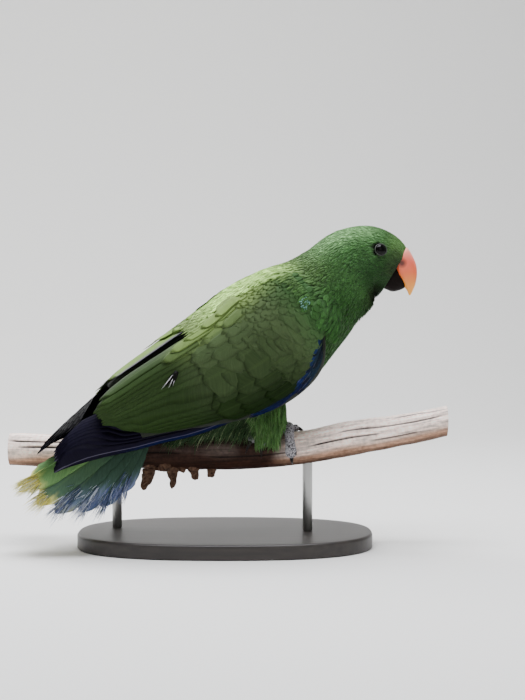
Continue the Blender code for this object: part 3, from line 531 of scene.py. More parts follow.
# A very smooth dark surface gives the eye its one sharp highlight; the lid is dull and finely speckled
cornea, _ = new_material("wet_cornea_over_dark_iris", "#040303", 0.04, Specular_IOR_Level=0.14)
rim_skin, rim_shader = new_material("bare_grey_lid_skin", "#59605a", 0.55)
two_tone(rim_shader, grain(rim_shader, 9000.0, 2.0), "#0f120e", "#474e44")

# The body's point nearest to the eye's middle, the way it faces, and the level and rising ways there
near_at, near_turn = np.meshgrid(np.linspace(-100, -76, 97), np.linspace(50, 100, 101), indexing="ij")
sheet = on_form(BODY, near_at, near_turn) / MM
row, column = np.unravel_index(np.argmin(np.linalg.norm(sheet - EYE_CENTRE, axis=-1)), near_at.shape)
out_way = np.cross(sheet[row + 1, column] - sheet[row - 1, column],
                   sheet[row, column + 1] - sheet[row, column - 1])
out_way = unit(out_way) * np.sign(-out_way[1])
level_way = unit(np.cross(out_way, [0.0, 0.0, 1.0]))
rising_way = np.cross(level_way, out_way)
for title, sign in (("right", 1), ("left", -1)):
    polar, turn = np.radians(np.linspace(0.5, 179.5, 32))[:, None], np.radians(np.arange(48) * 7.5)
    bulge = EYE_RADIUS + CORNEA_BULGE * np.exp(-(np.degrees(math.pi - polar) / 28) ** 2)
    ball = np.stack(np.broadcast_arrays(bulge * np.sin(polar) * np.cos(turn), sign * bulge * np.cos(polar),
                                        bulge * np.sin(polar) * np.sin(turn)), -1)
    ball = ball + [EYE_CENTRE[0], HEAD_MIDDLE_Y + sign * (EYE_CENTRE[1] - HEAD_MIDDLE_Y), EYE_CENTRE[2]]
    eye = make_mesh("eye_ball_" + title, ball * MM, grid_faces(32, 48, True)[:, ::sign], cornea)
    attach(eye, "root")
    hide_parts("eye_" + title)

    loop, section = np.radians(np.arange(121) * 3.0)[:, None], np.radians(np.arange(12) * 30.0)
    bead = BEAD_RADIUS + 0.1 * np.abs(np.sin(loop * BEADS / 2)) + 0.05 * np.sin(loop * 4)
    out, high = LID_RADIUS + bead * np.cos(section), LID_HEIGHT + bead * np.sin(section)
    lid = (sheet[row, column] + level_way * (out * np.cos(loop) * 1.08)[..., None]
           + rising_way * (out * np.sin(loop) * 0.94)[..., None] + out_way * high[..., None])
    lid[..., 1] = HEAD_MIDDLE_Y + sign * (lid[..., 1] - HEAD_MIDDLE_Y)
    faces = grid_faces(121, 12, True) % (120 * 12)
    rim = make_mesh("eye_lid_" + title, lid[:120] * MM, faces[:, ::-sign], rim_skin)
    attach(rim, "root")

# The bill is horn over bone: a hooked upper half, coral fading to yellow at the tip, and a short
# blackish lower half that closes inside it. Both grow from under the face feathers.
CULMEN = ((143.0, 238.9), (146.6, 238.6), (151.0, 231.5), (153.8, 224.1), (154.2, 216.8), (153.0, 209.4),
          (151.0, 204.5), (149.2, 200.8))
TOMIUM = ((132.6, 226.8), (136.3, 225.0), (136.9, 221.0), (138.4, 216.7), (140.9, 212.6), (143.9, 207.6),
          (146.3, 204.2), (147.9, 200.6))
UPPER_HALF = (10.2, 11.2, 10.6, 9.0, 6.8, 4.5, 2.6, 0.9)
CHIN_TOP = ((134.0, 225.0), (139.0, 223.6), (141.6, 218.0), (144.0, 212.4), (145.6, 208.8))
CHIN_LOW = ((125.0, 207.2), (129.0, 205.6), (134.6, 203.6), (140.4, 204.8), (143.6, 206.2))
LOWER_HALF = (9.4, 10.2, 9.0, 6.4, 2.4)
# Horn colours by height, the first and last stop before those between them
# The palest pink, at the top, is partly the horn's paler base and partly a painted highlight
HORN_STOPS = ((0, "#f5b93c"), (1, "#fba692"), (0.26, "#f7962c"), (0.52, "#f26a36"), (0.76, "#f56d58"))
HORN_LOW, HORN_HIGH = 0.201, 0.241         # heights of the first and last colour, metres
NOSTRIL = (0.1412, -0.0005, 0.2265)


def bill_half(name, top, low, half, flat, steps, sides, surface):
    """Cross-sections between two outlines: a half oval above, squared off beneath, along a smooth line."""
    knots, at = np.arange(len(top)), np.linspace(0, len(top) - 1, steps)
    top, low = (np.stack([smooth(at, knots, heights) for heights in zip(*line)], -1) for line in (top, low))
    wide = smooth(at, knots, half)[:, None]
    turn = np.radians(np.arange(sides) * 360 / sides)[None, :]
    along, aside = squared(turn, np.where(np.cos(turn) > 0, 2.0, flat))
    middle, reach = (top + low) / 2, (top - low) / 2
    grid = np.stack([middle[:, :1] + reach[:, :1] * along, HEAD_MIDDLE_Y - wide * aside,
                     middle[:, 1:] + reach[:, 1:] * along], -1)
    return closed_piece(name, grid * MM, surface)


# Polished horn: light sinks in a little, so its colours glow, and a dark smudge marks the nostril
horn, horn_shader = new_material("polished_coral_bill_horn", "#e8684a", 0.36, Coat_Weight=0.05,
                                 Subsurface_Weight=0.06, Subsurface_Radius=(0.004, 0.0015, 0.0008))
horn_place = add_node(horn_shader, "TexCoord", out="Object")
horn_noise = grain(horn_shader, 160.0, 4.0)
horn_height = maths(horn_shader, "MULTIPLY_ADD", horn_noise, 0.006,
                    add_node(horn_shader, "SeparateXYZ", out="Z", in_0=horn_place))
horn_colour = add_node(horn_shader, "ValToRGB", in_0=ranged(horn_shader, horn_height, HORN_LOW, HORN_HIGH))
horn_stops = horn_colour.node.color_ramp.elements
for stop, code in HORN_STOPS:
    (horn_stops[stop] if stop in (0, 1) else horn_stops.new(stop)).color = (*linear(code), 1)
smudge = add_node(horn_shader, "VectorMath", {"operation": "DISTANCE"}, "Value", in_0=horn_place,
                  in_1=NOSTRIL)
smudge = ranged(horn_shader, smudge, 0.0014, 0.0046, 0.9, 0.0)
two_tone(horn_shader, smudge, horn_colour, "#3e1710")
bumpy(horn_shader, horn_noise, 0.0003, 0.35)
upper_bill = bill_half("bill_upper", CULMEN, TOMIUM, UPPER_HALF, 3.6, 60, 64, horn)
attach(upper_bill, "root")
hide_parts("upper_bill")

# Dry black horn, almost without shine, a little mottled
dark_horn, dark_shader = new_material("dry_black_bill_horn", "#130c0b", 0.7, Specular_IOR_Level=0.1)
two_tone(dark_shader, grain(dark_shader, 420.0, 5.0), "#070404", "#1b1210")
lower_bill = bill_half("bill_lower", CHIN_TOP, CHIN_LOW, LOWER_HALF, 2.4, 40, 48, dark_horn)
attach(lower_bill, "root")
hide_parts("lower_bill")

# Each folded wing: a thin bed on the arm, dark as painted shade under the feathers, then primaries,
# secondaries and tertials fanned shut over one another, and over their roots the coverts in tiers,
# smallest at the shoulder.
# Along the wing's upper edge its top green is a painted highlight; over its lower part its low green is
# painted shade
WING_OLIVE, WING_TOP_HIGHLIGHT, WING_LOW_SHADE, SHOULDER_GREEN = "#475738", "#6f8747", "#0d1f02", "#31522b"
# The far yellow is a painted highlight on the far wing's upturned inner edge
SECONDARY_GREEN, INNER_GREEN, FAR_HIGHLIGHT_YELLOW, FAR_LILAC = "#203312", "#1c2d0c", "#6d8c3a", "#5c5862"
PRIMARY_INDIGO, PRIMARY_BLACK, EDGE_BLUE = "#0f0b1d", "#09080d", "#08153c"
SLATE_BLUE, STREAK_BLUE, BED_SHADE_GREEN = "#172734", "#1a2b5b", "#1c2613"
GREEN_LOW_AT = (-26, -17, -5, 12, 26, 45, 77, 105, 130, 160)
GREEN_LOW = (86, 97, 102, 108, 114, 120, 118, 112, 105, 98)     # angle of the green's lower limit
LEFT_RISE, LEFT_TUCK = 52.0, 16.0          # how the far wing's tip lies over the back
BED_DEPTH = 2.0
PRIMARY_ROOT, PRIMARIES, SECONDARY_ROOT, SECONDARIES = 62.0, 9, 56.0, 13
EDGE_FEATHERS, EDGE_DROPS = 42, (3.0, 8.0, 13.0)           # their number, and degrees below the green
LESSER_START, LESSER_SPAN, LESSER_ROWS = -27, 51, 19
SCAPULAR_ROOT, SCAPULAR_ANGLE = np.array([14.0, 27, 40, 52, 64]), np.array([35.0, 36, 38, 42, 48])
SCAPULAR_LENGTH, SCAPULAR_WIDTH = (40, 44, 48, 50, 48), 12.5
# Each tier's start, length, number of feathers, their width, lifts and tilt, upper angle and rows of points
TIERS = (("greater", 40.0, 50, 13, 13.5, (-1.6, 0.7, 0.85), 0.1, 38, 10),
         ("second_greater", 31.0, 44, 13, 12.5, (-1.6, 0.75, 1.0), 0.08, 37, 8),
         ("median", 21.0, 36, 14, 11.0, (-1.6, 0.85, 1.12), 0.07, 35, 8))


def wing_colour(station, angle):
    """The folded wing's green at a place."""
    station, angle = np.broadcast_arrays(np.asarray(station, float), angle)
    colour = painted(WING_OLIVE, *station.shape)
    # Painted highlight along the wing's upper edge, not on the secondaries
    colour = mix(colour, WING_TOP_HIGHLIGHT, 0.9 * blend(66, 36, angle) * (1 - 0.95 * blend(80, 118, station)))
    # Painted shade over the wing's lower part
    colour = mix(colour, WING_LOW_SHADE, blend(62, 114, angle) * blend(-12, 40, station))
    colour = mix(colour, SECONDARY_GREEN, 0.85 * blend(72, 118, station))
    return mix(colour, SHOULDER_GREEN, 0.85 * blend(12, -16, station))


def green_low(station):
    """The angle where the wing's green ends."""
    return np.interp(station, GREEN_LOW_AT, GREEN_LOW)


def level(sign, angle, station):
    """An angle on the wing; the far wing's feathers lie higher towards its tip, across the back's middle."""
    upper = np.clip(1 - (angle - 30) / 50, 0, 1)
    return angle - (sign < 0) * LEFT_TOP * upper * np.interp(station, (40, 80, 150), (0, 1, 0.7))


def wing_place(sign):
    """The wing's outer surface on one side of the body."""
    return lambda station, angle, lift: on_form(WING, station, sign * angle, lift)


def flight(name, sign, root, tips, path, widths, lifts, tilt, colours, surface=vane_plumage, rows=16,
           columns=7, blunt=0.5, crown=0.15, shape=(0.6, 1.0, 0.96, 0.8)):
    """Long vanes side by side on one wing: path(station, order) gives each one's angle."""
    number, along = len(tips), np.linspace(0, 1, rows)
    station = root[:, None] + (tips - root)[:, None] * along
    lift = np.interp(along, (0, 0.35, 1), lifts) + draw.normal(0, 0.06, (number, 1))
    half = widths[:, None] / 2 * np.interp(along, (0, 0.25, 0.8, 0.93, 1), shape + (blunt,))
    ragged = 1 + draw.normal(0, 0.015, (number, rows, columns))
    angle = path(station, np.arange(number)[:, None])
    piece = lay_feathers(name, wing_place(sign), station, angle, lift, half, colours, surface,
                         mm_per_degree(WING, station)[:, :, None], columns, sign < 0, tilt, crown,
                         tip_round=0.07, edge=ragged)


for title, sign in (("right", 1), ("left", -1)):
    far = sign < 0
    at, across = np.linspace(-22, 150, 40)[:, None], np.linspace(0, 1, 24)
    top, low = (smooth(at, WING_EDGE_AT + (160,), edge)
                for edge in (WING_TOP_EDGE + (34,), WING_LOW_EDGE + (108,)))
    angle = level(sign, top + 2 + (low - top - 4) * across, at)
    lift = -2.0 - 1.5 * np.abs(across * 2 - 1) ** 6 - 1.5 * blend(0, -20, at)
    upper, under = (wing_place(sign)(at, angle, lift - depth) for depth in (0, BED_DEPTH))
    bed = closed_piece("wing_bed_" + title, np.concatenate([upper, under[:, ::-1]], 1), skin_surface)
    # The bed's near-black green is painted shade under the wing's feathers
    set_tint(bed, painted(BED_SHADE_GREEN, len(bed.data.vertices)))
    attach(bed, "root")
    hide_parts("wing_" + title)

    order, rows = np.linspace(0, 1, PRIMARIES), 18

    def primary_path(station, number):
        """From the wing's lower edge upwards, spread more towards the tips."""
        lowest = np.interp(station, (62, 120, 160, 190, 222), (123, 126, 120, 104, 91))
        fan = np.interp(station, (100, 165, 205), (17, 66, 98) if far else (17, 41, 54))
        risen = far * LEFT_RISE * np.interp(station, (90, 220), (0, 1))
        return lowest - fan * (1 - number / (PRIMARIES - 1)) - risen

    along, across = np.linspace(0, 1, rows)[:, None], np.linspace(-1, 1, 7)
    # The far wing's primaries stay black, without the near ones' indigo: painted shade
    dark = mix(painted(PRIMARY_BLACK, PRIMARIES, rows, 7), PRIMARY_INDIGO, 0.0 if far else 0.8)
    dark = mix(dark, EDGE_BLUE, 0.85 * blend(0.75, 0.45, along) * blend(-0.5, 0.3, across))
    flight("feathers_primary_" + title, sign, np.full(PRIMARIES, PRIMARY_ROOT),
           np.interp(order, (0, 0.3, 0.9, 1), (198, 213, 219, 223)), primary_path, 17.0 - 2.5 * order,
           (-4.4, -3.8, -3.0), -0.7, dark, dark_plumage, rows=rows, blunt=0.4)

    order = np.linspace(0, 1, SECONDARIES)

    def secondary_path(station, number):
        """From the wing's upper edge downwards, closer together towards the tips."""
        share = number / (SECONDARIES - 1)
        root = level(sign, 39 + 72 * share ** 0.75, station)
        end = level(sign, 34 + 58 * share ** 0.65, station)
        return root + (end - root) * np.interp(station, (60, 160), (0, 1))

    tips = np.interp(order, (0, 0.2, 0.7, 1), (166, 175, 171, 149)) - far * LEFT_TUCK * (1 - order)
    tips = tips + draw.normal(0, 1.2, SECONDARIES)
    station = SECONDARY_ROOT + (tips[:, None] - SECONDARY_ROOT) * np.linspace(0, 1, 16)
    greens = wing_colour(station[:, :, None], (40 + 72 * order)[:, None, None] + np.zeros(7))
    greens = greens * draw.normal(1, 0.05, (SECONDARIES, 1, 1, 1))
    if far:
        inmost = blend(0.5, 0.1, order)[:, None, None]
        # A pale yellow painted highlight on the far wing's inmost feathers, and their lilac inner edge
        greens = mix(mix(greens, FAR_HIGHLIGHT_YELLOW, 0.9 * inmost), FAR_LILAC, inmost * blend(-0.15, -0.6, across))
        # Their camera-side edge is black: painted shadow in the gap beneath them
        greens = mix(greens, PRIMARY_BLACK, inmost * blend(-0.6, -0.85, across))
    else:
        greens = mix(greens, INNER_GREEN, 0.6 * blend(-0.45, -1.0, across))
    flight("feathers_secondary_" + title, sign, np.full(SECONDARIES, SECONDARY_ROOT), tips, secondary_path,
           15.5 - 2.5 * order, (-1.6, 0.1, 0.2), 0.4, greens, blunt=0.6)

    # Coverts in rows across the wing, from its upper edge to the green's lower limit
    for tier, start, length, count, width, lifts, tilt, high, rows in TIERS:
        share = np.clip((np.arange(count) + draw.normal(0, 0.1, count)) / (count - 1), 0, 1)
        root = start + draw.normal(0, 1.2, count)
        tips = root + length * draw.normal(1, 0.05, count)
        base = high + (green_low(tips) - 3 - high) * share
        colours = wing_colour(tips - 10, base) * draw.normal(1, 0.05, count)[:, None]
        if far:
            # Painted highlight on the far wing's upper coverts
            colours = mix(colours, FAR_HIGHLIGHT_YELLOW, 0.7 * blend(70, 45, base) * blend(30, 60, tips))
        flight(f"feathers_{tier}_{title}", sign, root, tips, lambda at, order: level(sign, base[:, None], at),
               width * draw.normal(1, 0.06, count), lifts, tilt, colours, covert_plumage, rows, 5, 0.42, 0.08,
               (0.6, 1.0, 1.0, 0.8))

    def lesser_angles(start, row):
        """One row of the smallest coverts, staggered against the row before it."""
        low, top = float(green_low(start + 8)), float(wing_edge(start, WING_TOP_EDGE)) + 4
        number = int((low - top) / np.interp(start, (-26, 20), (3.3, 6.4)))
        return top + (low - top) * (np.arange(number) + 0.5 * (row % 2)) / (number - 0.5)

    starts = LESSER_START + LESSER_SPAN * np.linspace(0, 1, LESSER_ROWS) ** 1.25
    station, angle = staggered(starts, lesser_angles)
    number, along = station.size, np.linspace(0, 1, 7)
    station, angle = station + draw.normal(0, 0.9, number), angle + draw.normal(0, 0.8, number)
    length, half, tip = (np.interp(station, (-26, 22), ends) for ends in ((8, 24), (2.2, 5.6), (0.3, 1.05)))
    line = station[:, None] + (length * draw.normal(1, 0.07, number))[:, None] * along
    tip = tip + draw.normal(0, 0.05, number)
    lift = -1.5 + (tip[:, None] + 1.5) * np.interp(along, (0, 0.45, 1), (0, 0.88, 1))
    half = half[:, None] * np.interp(along, (0, 0.3, 0.8, 1), (0.6, 1, 0.96, 0.42))
    colours = wing_colour(station + 8, angle) * draw.normal(1, 0.045, number)[:, None]
    piece = lay_feathers("feathers_lesser_" + title, wing_place(sign), line,
                         level(sign, angle[:, None], line), lift, half, colours, covert_plumage,
                         mm_per_degree(WING, line)[:, :, None], 5, far, 0.06, 0.05, 0.08, 0.14)

    # Scapulars: five broad feathers from the shoulder blade over the wing's upper edge
    # The far wing's scapulars take the pale yellow painted highlight
    colours = mix(wing_colour(SCAPULAR_ROOT + 30, SCAPULAR_ANGLE), FAR_HIGHLIGHT_YELLOW, 0.6 * far)
    flight("feathers_scapular_" + title, sign, SCAPULAR_ROOT, SCAPULAR_ROOT + SCAPULAR_LENGTH,
           lambda at, order: level(sign, SCAPULAR_ANGLE[:, None], at), np.full(5, SCAPULAR_WIDTH),
           (-1.4, 1.2, 1.8), 0.15, colours, covert_plumage, 10, shape=(0.6, 1.0, 1.0, 0.86))

    # The blue edge below the green, in three overlapping rows, narrow where the thigh hides it
    order = np.arange(EDGE_FEATHERS)
    share = order / (EDGE_FEATHERS - 1)
    root = -13 + 50 * share
    below = np.array(EDGE_DROPS)[order % 3] * blend(-0.05, 0.25, share) * (1 - 0.5 * blend(0.55, 1, share))
    below = below * (1 - 0.75 * blend(0.42, 0.55, share) * blend(0.82, 0.7, share))
    blue = mix(painted(SLATE_BLUE, EDGE_FEATHERS), EDGE_BLUE, blend(0.15, 0.5, share))
    # Every fourth feather near black: painted shade in gaps along the blue edge
    blue = mix(mix(blue, STREAK_BLUE, 0.5 * (order % 3 == 0)), PRIMARY_BLACK, 0.6 * (order % 4 == 1))
    flight("feathers_edge_" + title, sign, root, root + 20 + 14 * share,
           lambda at, order: green_low(at) + below[:, None], np.full(EDGE_FEATHERS, 6.4), (-1.9, -0.2, 0.4),
           0.5, blue, dark_plumage, 8, 5)

# Where neck, mantle and wings meet, loose feathers run from the body over the wings' front and inner
# edges, so that no step shows. Their surface passes smoothly from the body's form to the wing's.
DRAPE_START, DRAPE_END, DRAPE_STEP = -37, 62, 2.4


def drape_place(station, angle, lift):
    """Body form turned into wing form: the share rises backwards and towards the wing's edge."""
    edge = wing_edge(station, WING_TOP_EDGE)
    side = blend(edge - 16, edge + 6, np.abs(angle)) * blend(-38, -18, station)
    share = np.maximum(blend(15, 60, station), side)[..., None]
    return on_form(BODY, station, angle, lift) * (1 - share) + on_form(WING, station, angle, lift) * share


def drape_angles(start, row):
    """One row over the back, from wing edge to wing edge, and right round the collar in front of them."""
    limit = float(wing_edge(start, WING_TOP_EDGE)) + 6
    limit = limit + (118 - limit) * float(blend(-17, -22, start))
    number = int(2 * limit * 0.75 / 2.1)
    return np.linspace(-limit, limit, number) + (row % 2 - 0.5) * limit / number


station, angle = staggered(np.arange(DRAPE_START, DRAPE_END, DRAPE_STEP), drape_angles)
number, along = station.size, np.linspace(0, 1, 7)
station, angle = station + draw.normal(0, 1.3, number), angle + draw.normal(0, 1.3, number)
length, half = (np.interp(station, (DRAPE_START, -24, 66), ends) for ends in ((9, 11, 24), (0.9, 1.2, 2.3)))
line = station[:, None] + (length * draw.normal(1, 0.09, number))[:, None] * along
turn = angle[:, None] + draw.normal(0, 1.2, number)[:, None] * along
lift = np.interp(along, (0, 0.4, 1), (-0.8, 0.6, 1.0)) + draw.normal(0, 0.06, (number, 1))
lift = lift + 0.8 * blend(40, 80, line) - 0.6 * blend(-24, -36, line)
half = half[:, None] * np.interp(along, (0, 0.35, 0.7, 1), (0.6, 1, 0.85, 0.15))
colours = coat_colour(station + 6, angle)
colours = colours + (wing_colour(station, np.abs(angle)) - colours) * blend(20, 60, station)[:, None]
drape = lay_feathers("feathers_mantle", drape_place, line, turn, lift, half,
                     colours * draw.normal(1, 0.13, number)[:, None], contour_plumage,
                     mm_per_degree(WING, line)[:, :, None], thick=0.1)

# Two small marks on the near wing: a feather split so that pale quills show in a slot, its dark painted
# shade on broad strands, and a pale blue-green fleck of down at the bend of the wing. Both are thin strands.
QUILL_FROM = ((105.0, 68.8), (104.5, 69.3), (105.5, 69.5), (104.5, 69.9), (105.0, 70.1))    # station, angle
QUILL_TO = ((121.5, 78.3), (118.5, 78.8), (116.0, 80.3), (114.0, 80.8), (112.5, 80.3))
QUILL_GAPS = np.array([0, 1, 0, 1, 0])     # the broad dark strands between the pale ones
# The broad strands' near black is painted shade in the slot
QUILL_PALE, QUILL_SLOT_SHADE, FLECK_DIM, FLECK_PALE = "#dcd9df", "#0d0e0a", "#46705c", "#7aaaa2"
FLECK_PLACE, FLECK_STRANDS = (-17.0, 86.0), 44
WING_SIDE = (0.2, -1.0, 0.3)               # the way the near wing faces


def lay_blades(name, root, way, bend, length, width, colours, bake, surface, rows=6, facing=(0.0, 0.3, 1.0)):
    """Thin three-sided strands that taper to a point, in mm: root + way * length * t + bend * t²."""
    count, along = len(root), np.linspace(0, 1, rows)[:, None]
    centre = root[:, None] + (way * length[:, None])[:, None] * along + bend[:, None] * along ** 2
    side = unit(np.cross(way, unit(np.array(facing))))
    lifted = np.cross(side, way) * 0.35
    half = width[:, None, None] / 2 * np.interp(along, (0, 0.35, 1), (0.7, 1, 0.1))
    corner = np.array([1.0, -1.0, 0.0])
    section = np.stack([side, -side, lifted], 1)[:, None]
    ring = centre[:, :, None] + half[..., None] * section
    quads, last = grid_faces(rows, 3, True), rows * 3 - 1
    faces = np.vstack([quads[:, [0, 1, 2]], quads[:, [0, 2, 3]], [[0, 1, 2], [last - 2, last, last - 1]]])
    faces = outward(ring[0].reshape(-1, 3), faces) + (np.arange(count) * rows * 3)[:, None, None]
    spread = np.stack(np.broadcast_arrays(along, corner / 2 + 0 * half), -1)
    vane = np.stack([half * corner, length[:, None, None] * along + 0 * corner], -1)
    lie = np.stack(np.broadcast_arrays(along, 0.5 + 0 * half * corner, draw.random(count)[:, None, None]), -1)
    bake = bake[:, None, None] + BAKE_PATCH * spread
    return coat_piece(name, ring * MM, faces.reshape(-1, 3), surface, bake, vane, lie,
                      np.broadcast_to(colours[:, None, None], lie.shape))


quill_at, quill_end_at = np.array(QUILL_FROM).T, np.array(QUILL_TO).T
quill_root, quill_end = (on_form(WING, *place, 1.7 - 0.2 * QUILL_GAPS) / MM
                         for place in (quill_at, quill_end_at))
quills = lay_blades("split_quills", quill_root, unit(quill_end - quill_root), np.zeros((5, 3)),
                    np.linalg.norm(quill_end - quill_root, axis=-1), 0.75 + 2.9 * QUILL_GAPS,
                    mix(painted(QUILL_PALE, 5), QUILL_SLOT_SHADE, QUILL_GAPS), bake_place(*quill_at), vane_plumage,
                    facing=WING_SIDE)
number = FLECK_STRANDS
at, turn = FLECK_PLACE[0] + draw.uniform(-2, 5, number), FLECK_PLACE[1] + draw.uniform(-3, 2, number)
root = on_form(WING, at, turn, 0.7) / MM
way = unit(on_form(WING, at + 4, turn + draw.normal(0, 2, number), 1.1) / MM - root)
fleck = lay_blades("shoulder_fleck", root, way, draw.normal(0, 0.4, (number, 3)), draw.uniform(2, 4, number),
                   np.ones(number), mix(painted(FLECK_DIM, number), FLECK_PALE, draw.random(number)),
                   bake_place(at, turn), vane_plumage, facing=WING_SIDE)

# The tail is twelve long vanes on one root, spread like a low roof. Their ends are worn: loose barbs
# hang past them as strands, pale yellow at the top of the fan, bluish lilac and white further down.
TAIL_LENGTH, TAIL_ROOT = np.array([115.0, 117, 111, 98, 85, 68]), 128.0      # mm, and the root's station
TAIL_PITCH, TAIL_YAW, TAIL_ROOF = 29, -15, 12                  # degrees down, aside, and of its roof
TAIL_NEAR_FAN, TAIL_FAR_FAN, ROOF_STEP = (6.2, -3.6), (2.2, 5.0), 9.0     # degrees more for each vane
TAIL_WIDTH, TAIL_ROWS, TAIL_COLUMNS, TAIL_STEP = 10.5, 24, 11, 1.1     # each vane lies a step lower
FRAY, FRAY_SPREAD = 130, 9.6                                   # strands to each vane, over so many mm
TOP_GREEN_SHARE = np.array([0.6, 0.12, 0, 0, 0, 0])[:, None, None]
TAIL_GREEN, TAIL_GREY_GREEN, TAIL_TOP_GREEN = "#2e4336", "#3f554d", "#6b9450"
TIP_YELLOW, TIP_LILAC, TIP_BLUE, TIP_WHITE = "#fbf288", "#838db8", "#3a5590", "#e6eef6"
tail_root, tail_above, tail_right = (read_line(table, TAIL_ROOT) for table in (LINE, ABOVE, RIGHT))


def tail_place(sign):
    """The fan on one side of the tail: distance from the root, place across the fan, lift."""
    droop, turn = TAIL_NEAR_FAN if sign > 0 else TAIL_FAR_FAN

    def place(distance, across, lift):
        distance, across, lift = (array[..., None] for array in np.broadcast_arrays(distance, across, lift))
        pitch, yaw = np.radians(TAIL_PITCH + droop * across), np.radians(TAIL_YAW + turn * across)
        way = np.concatenate([-np.cos(pitch) * np.cos(yaw), np.cos(pitch) * np.sin(yaw), -np.sin(pitch)], -1)
        roof = np.radians(TAIL_ROOF + ROOF_STEP * across) * sign
        start = tail_root + tail_right * (sign * 2.0 * across) - tail_above * (0.5 * across)
        return MM * (start + way * distance + (tail_above * np.cos(roof) + tail_right * np.sin(roof)) * lift)

    return place


def fan_mm(distance):
    """The millimetres from one vane's middle to the next."""
    return np.maximum(distance, 12) * 0.105 + 2.5


def scattered(number, *spreads, hang):
    """Random ways: normal about a middle along each axis but the last, which is even within hang."""
    return np.stack([draw.normal(*spread, number) for spread in spreads] + [draw.uniform(*hang, number)], -1)


for title, sign in (("right", 1), ("left", -1)):
    order, along, across = np.arange(6), np.linspace(0, 1, TAIL_ROWS), np.linspace(-1, 1, TAIL_COLUMNS)
    station = 2 + (TAIL_LENGTH[:, None] - 2) * along
    half = TAIL_WIDTH * np.interp(along, (0, 0.3, 0.85, 0.95, 1), (0.5, 1, 1, 0.86, 0.55)) + 0 * station
    wavy = along[:, None] + draw.normal(0, 0.03, (6, 1, TAIL_COLUMNS))
    colours = painted(TAIL_GREEN, 6, TAIL_ROWS, TAIL_COLUMNS)
    colours = mix(colours, TAIL_GREY_GREEN, 0.8 * blend(0.5, 0.85, wavy))
    colours = mix(colours, TAIL_TOP_GREEN, TOP_GREEN_SHARE * blend(0.3, 0.6, wavy))
    lilac = np.clip((order - 1) / 1.5, 0, 1)[:, None, None] * (sign > 0)
    streaked = draw.random((6, 1, TAIL_COLUMNS))
    colours = mix(colours, TIP_LILAC, lilac * blend(0.66, 0.95, wavy) * (0.2 + 0.8 * streaked))
    colours = mix(colours, TIP_YELLOW, (1 - lilac) * blend(0.86, 0.98, wavy) * (0.5 + 0.5 * streaked))
    ragged = 1 + draw.normal(0, 0.035, (6, TAIL_ROWS, TAIL_COLUMNS))
    place = tail_place(sign)
    piece = lay_feathers("feathers_tail_" + title, place, station, (order + 0.35)[:, None] + 0 * station,
                         (-TAIL_STEP * order - 0.2)[:, None] + 0 * station, half, colours, vane_plumage,
                         fan_mm(station)[:, :, None], TAIL_COLUMNS, crown=0.3, thick=0.2, tip_round=0.05,
                         edge=ragged)
    if sign > 0:
        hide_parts("tail")

    vane = np.repeat(order, FRAY)
    number, high, middle = vane.size, (vane < 2) | (sign < 0), (vane == 2) | (vane == 3)
    across = draw.uniform(-1, 1, number)
    share = np.where(high, draw.uniform(0.9, 0.985, number), 1 - draw.uniform(0.12, 0.5, number) ** 2)
    reach = TAIL_LENGTH[vane] * share
    offset = across * FRAY_SPREAD / fan_mm(reach) / 2
    root = place(reach, vane + 0.35 + offset, -TAIL_STEP * vane + 0.5 + draw.normal(0, 0.3, number)) / MM
    ahead = place(reach + 10, vane + 0.35 + offset * draw.uniform(0.9, 1.7, number),
                  -TAIL_STEP * vane + 1.2 + draw.normal(0, 0.9, number)) / MM
    length = draw.uniform(5, 15, number) * np.interp(np.abs(across), (0, 1), (1, 0.8))
    bend = scattered(number, (0, 1.2), (0, 1.2), hang=(-2.5, 0.5))
    tints = mix(painted(TIP_LILAC, number), TIP_YELLOW, high)
    whitish = np.where(high, 0.2, np.where(middle, 0.65, 0.3))
    tints = mix(tints, TIP_WHITE, 0.9 * (draw.random(number) < whitish))
    tints = mix(tints, TIP_BLUE, 0.7 * (draw.random(number) < 0.25) * ~high)
    tints = mix(tints, TAIL_GREEN, 0.85 * (draw.random(number) < np.where(high, 0.1, 0.22)))
    piece = lay_blades("tail_fray_" + title, root, unit(ahead - root), bend, length,
                       draw.uniform(0.9, 2.1, number), tints,
                       bake_place(160 + reach / 2, 180 + vane * 20 * sign + 10 * across), vane_plumage)

# Thighs are hung with loose downy feathers to the ankle, and wisps of down hang from the belly and
# vent, some of them before the branch, dark with the belly's own green and with painted shade under the
# wing. A soft dark core under the thigh's is the leg itself, its dark the skin's painted shade.
THIGHS = {"right": ((32.0, -15.0, 118.0), (33.0, -17.5, 101.0), (33.5, -18.5, 89.0)),      # hip, knee, ankle
          "left": ((13.0, 8.0, 120.0), (16.0, 13.0, 106.0), (19.0, 14.5, 97.0))}
THIGH_REACH_AT = (0, 0.4, 0.75, 1)
THIGH_REACHES = ((17.0, 15.5, 13.0, 8.0), (8.0, 8.0, 6.5, 4.5))      # along the bird and across it
THIGH_FEATHERS, WISPS, HUNG = 1300, 2400, 1600     # the hung wisps show below the belly, others lie on it
THIGH_GREEN, THIGH_PALE, THIGH_DARK = "#598546", "#7ea263", "#243f1f"
WISP_DARK_AND_SHADE, WISP_GREEN, WISP_PALE = "#2c4524", "#55764a", "#b3c193"

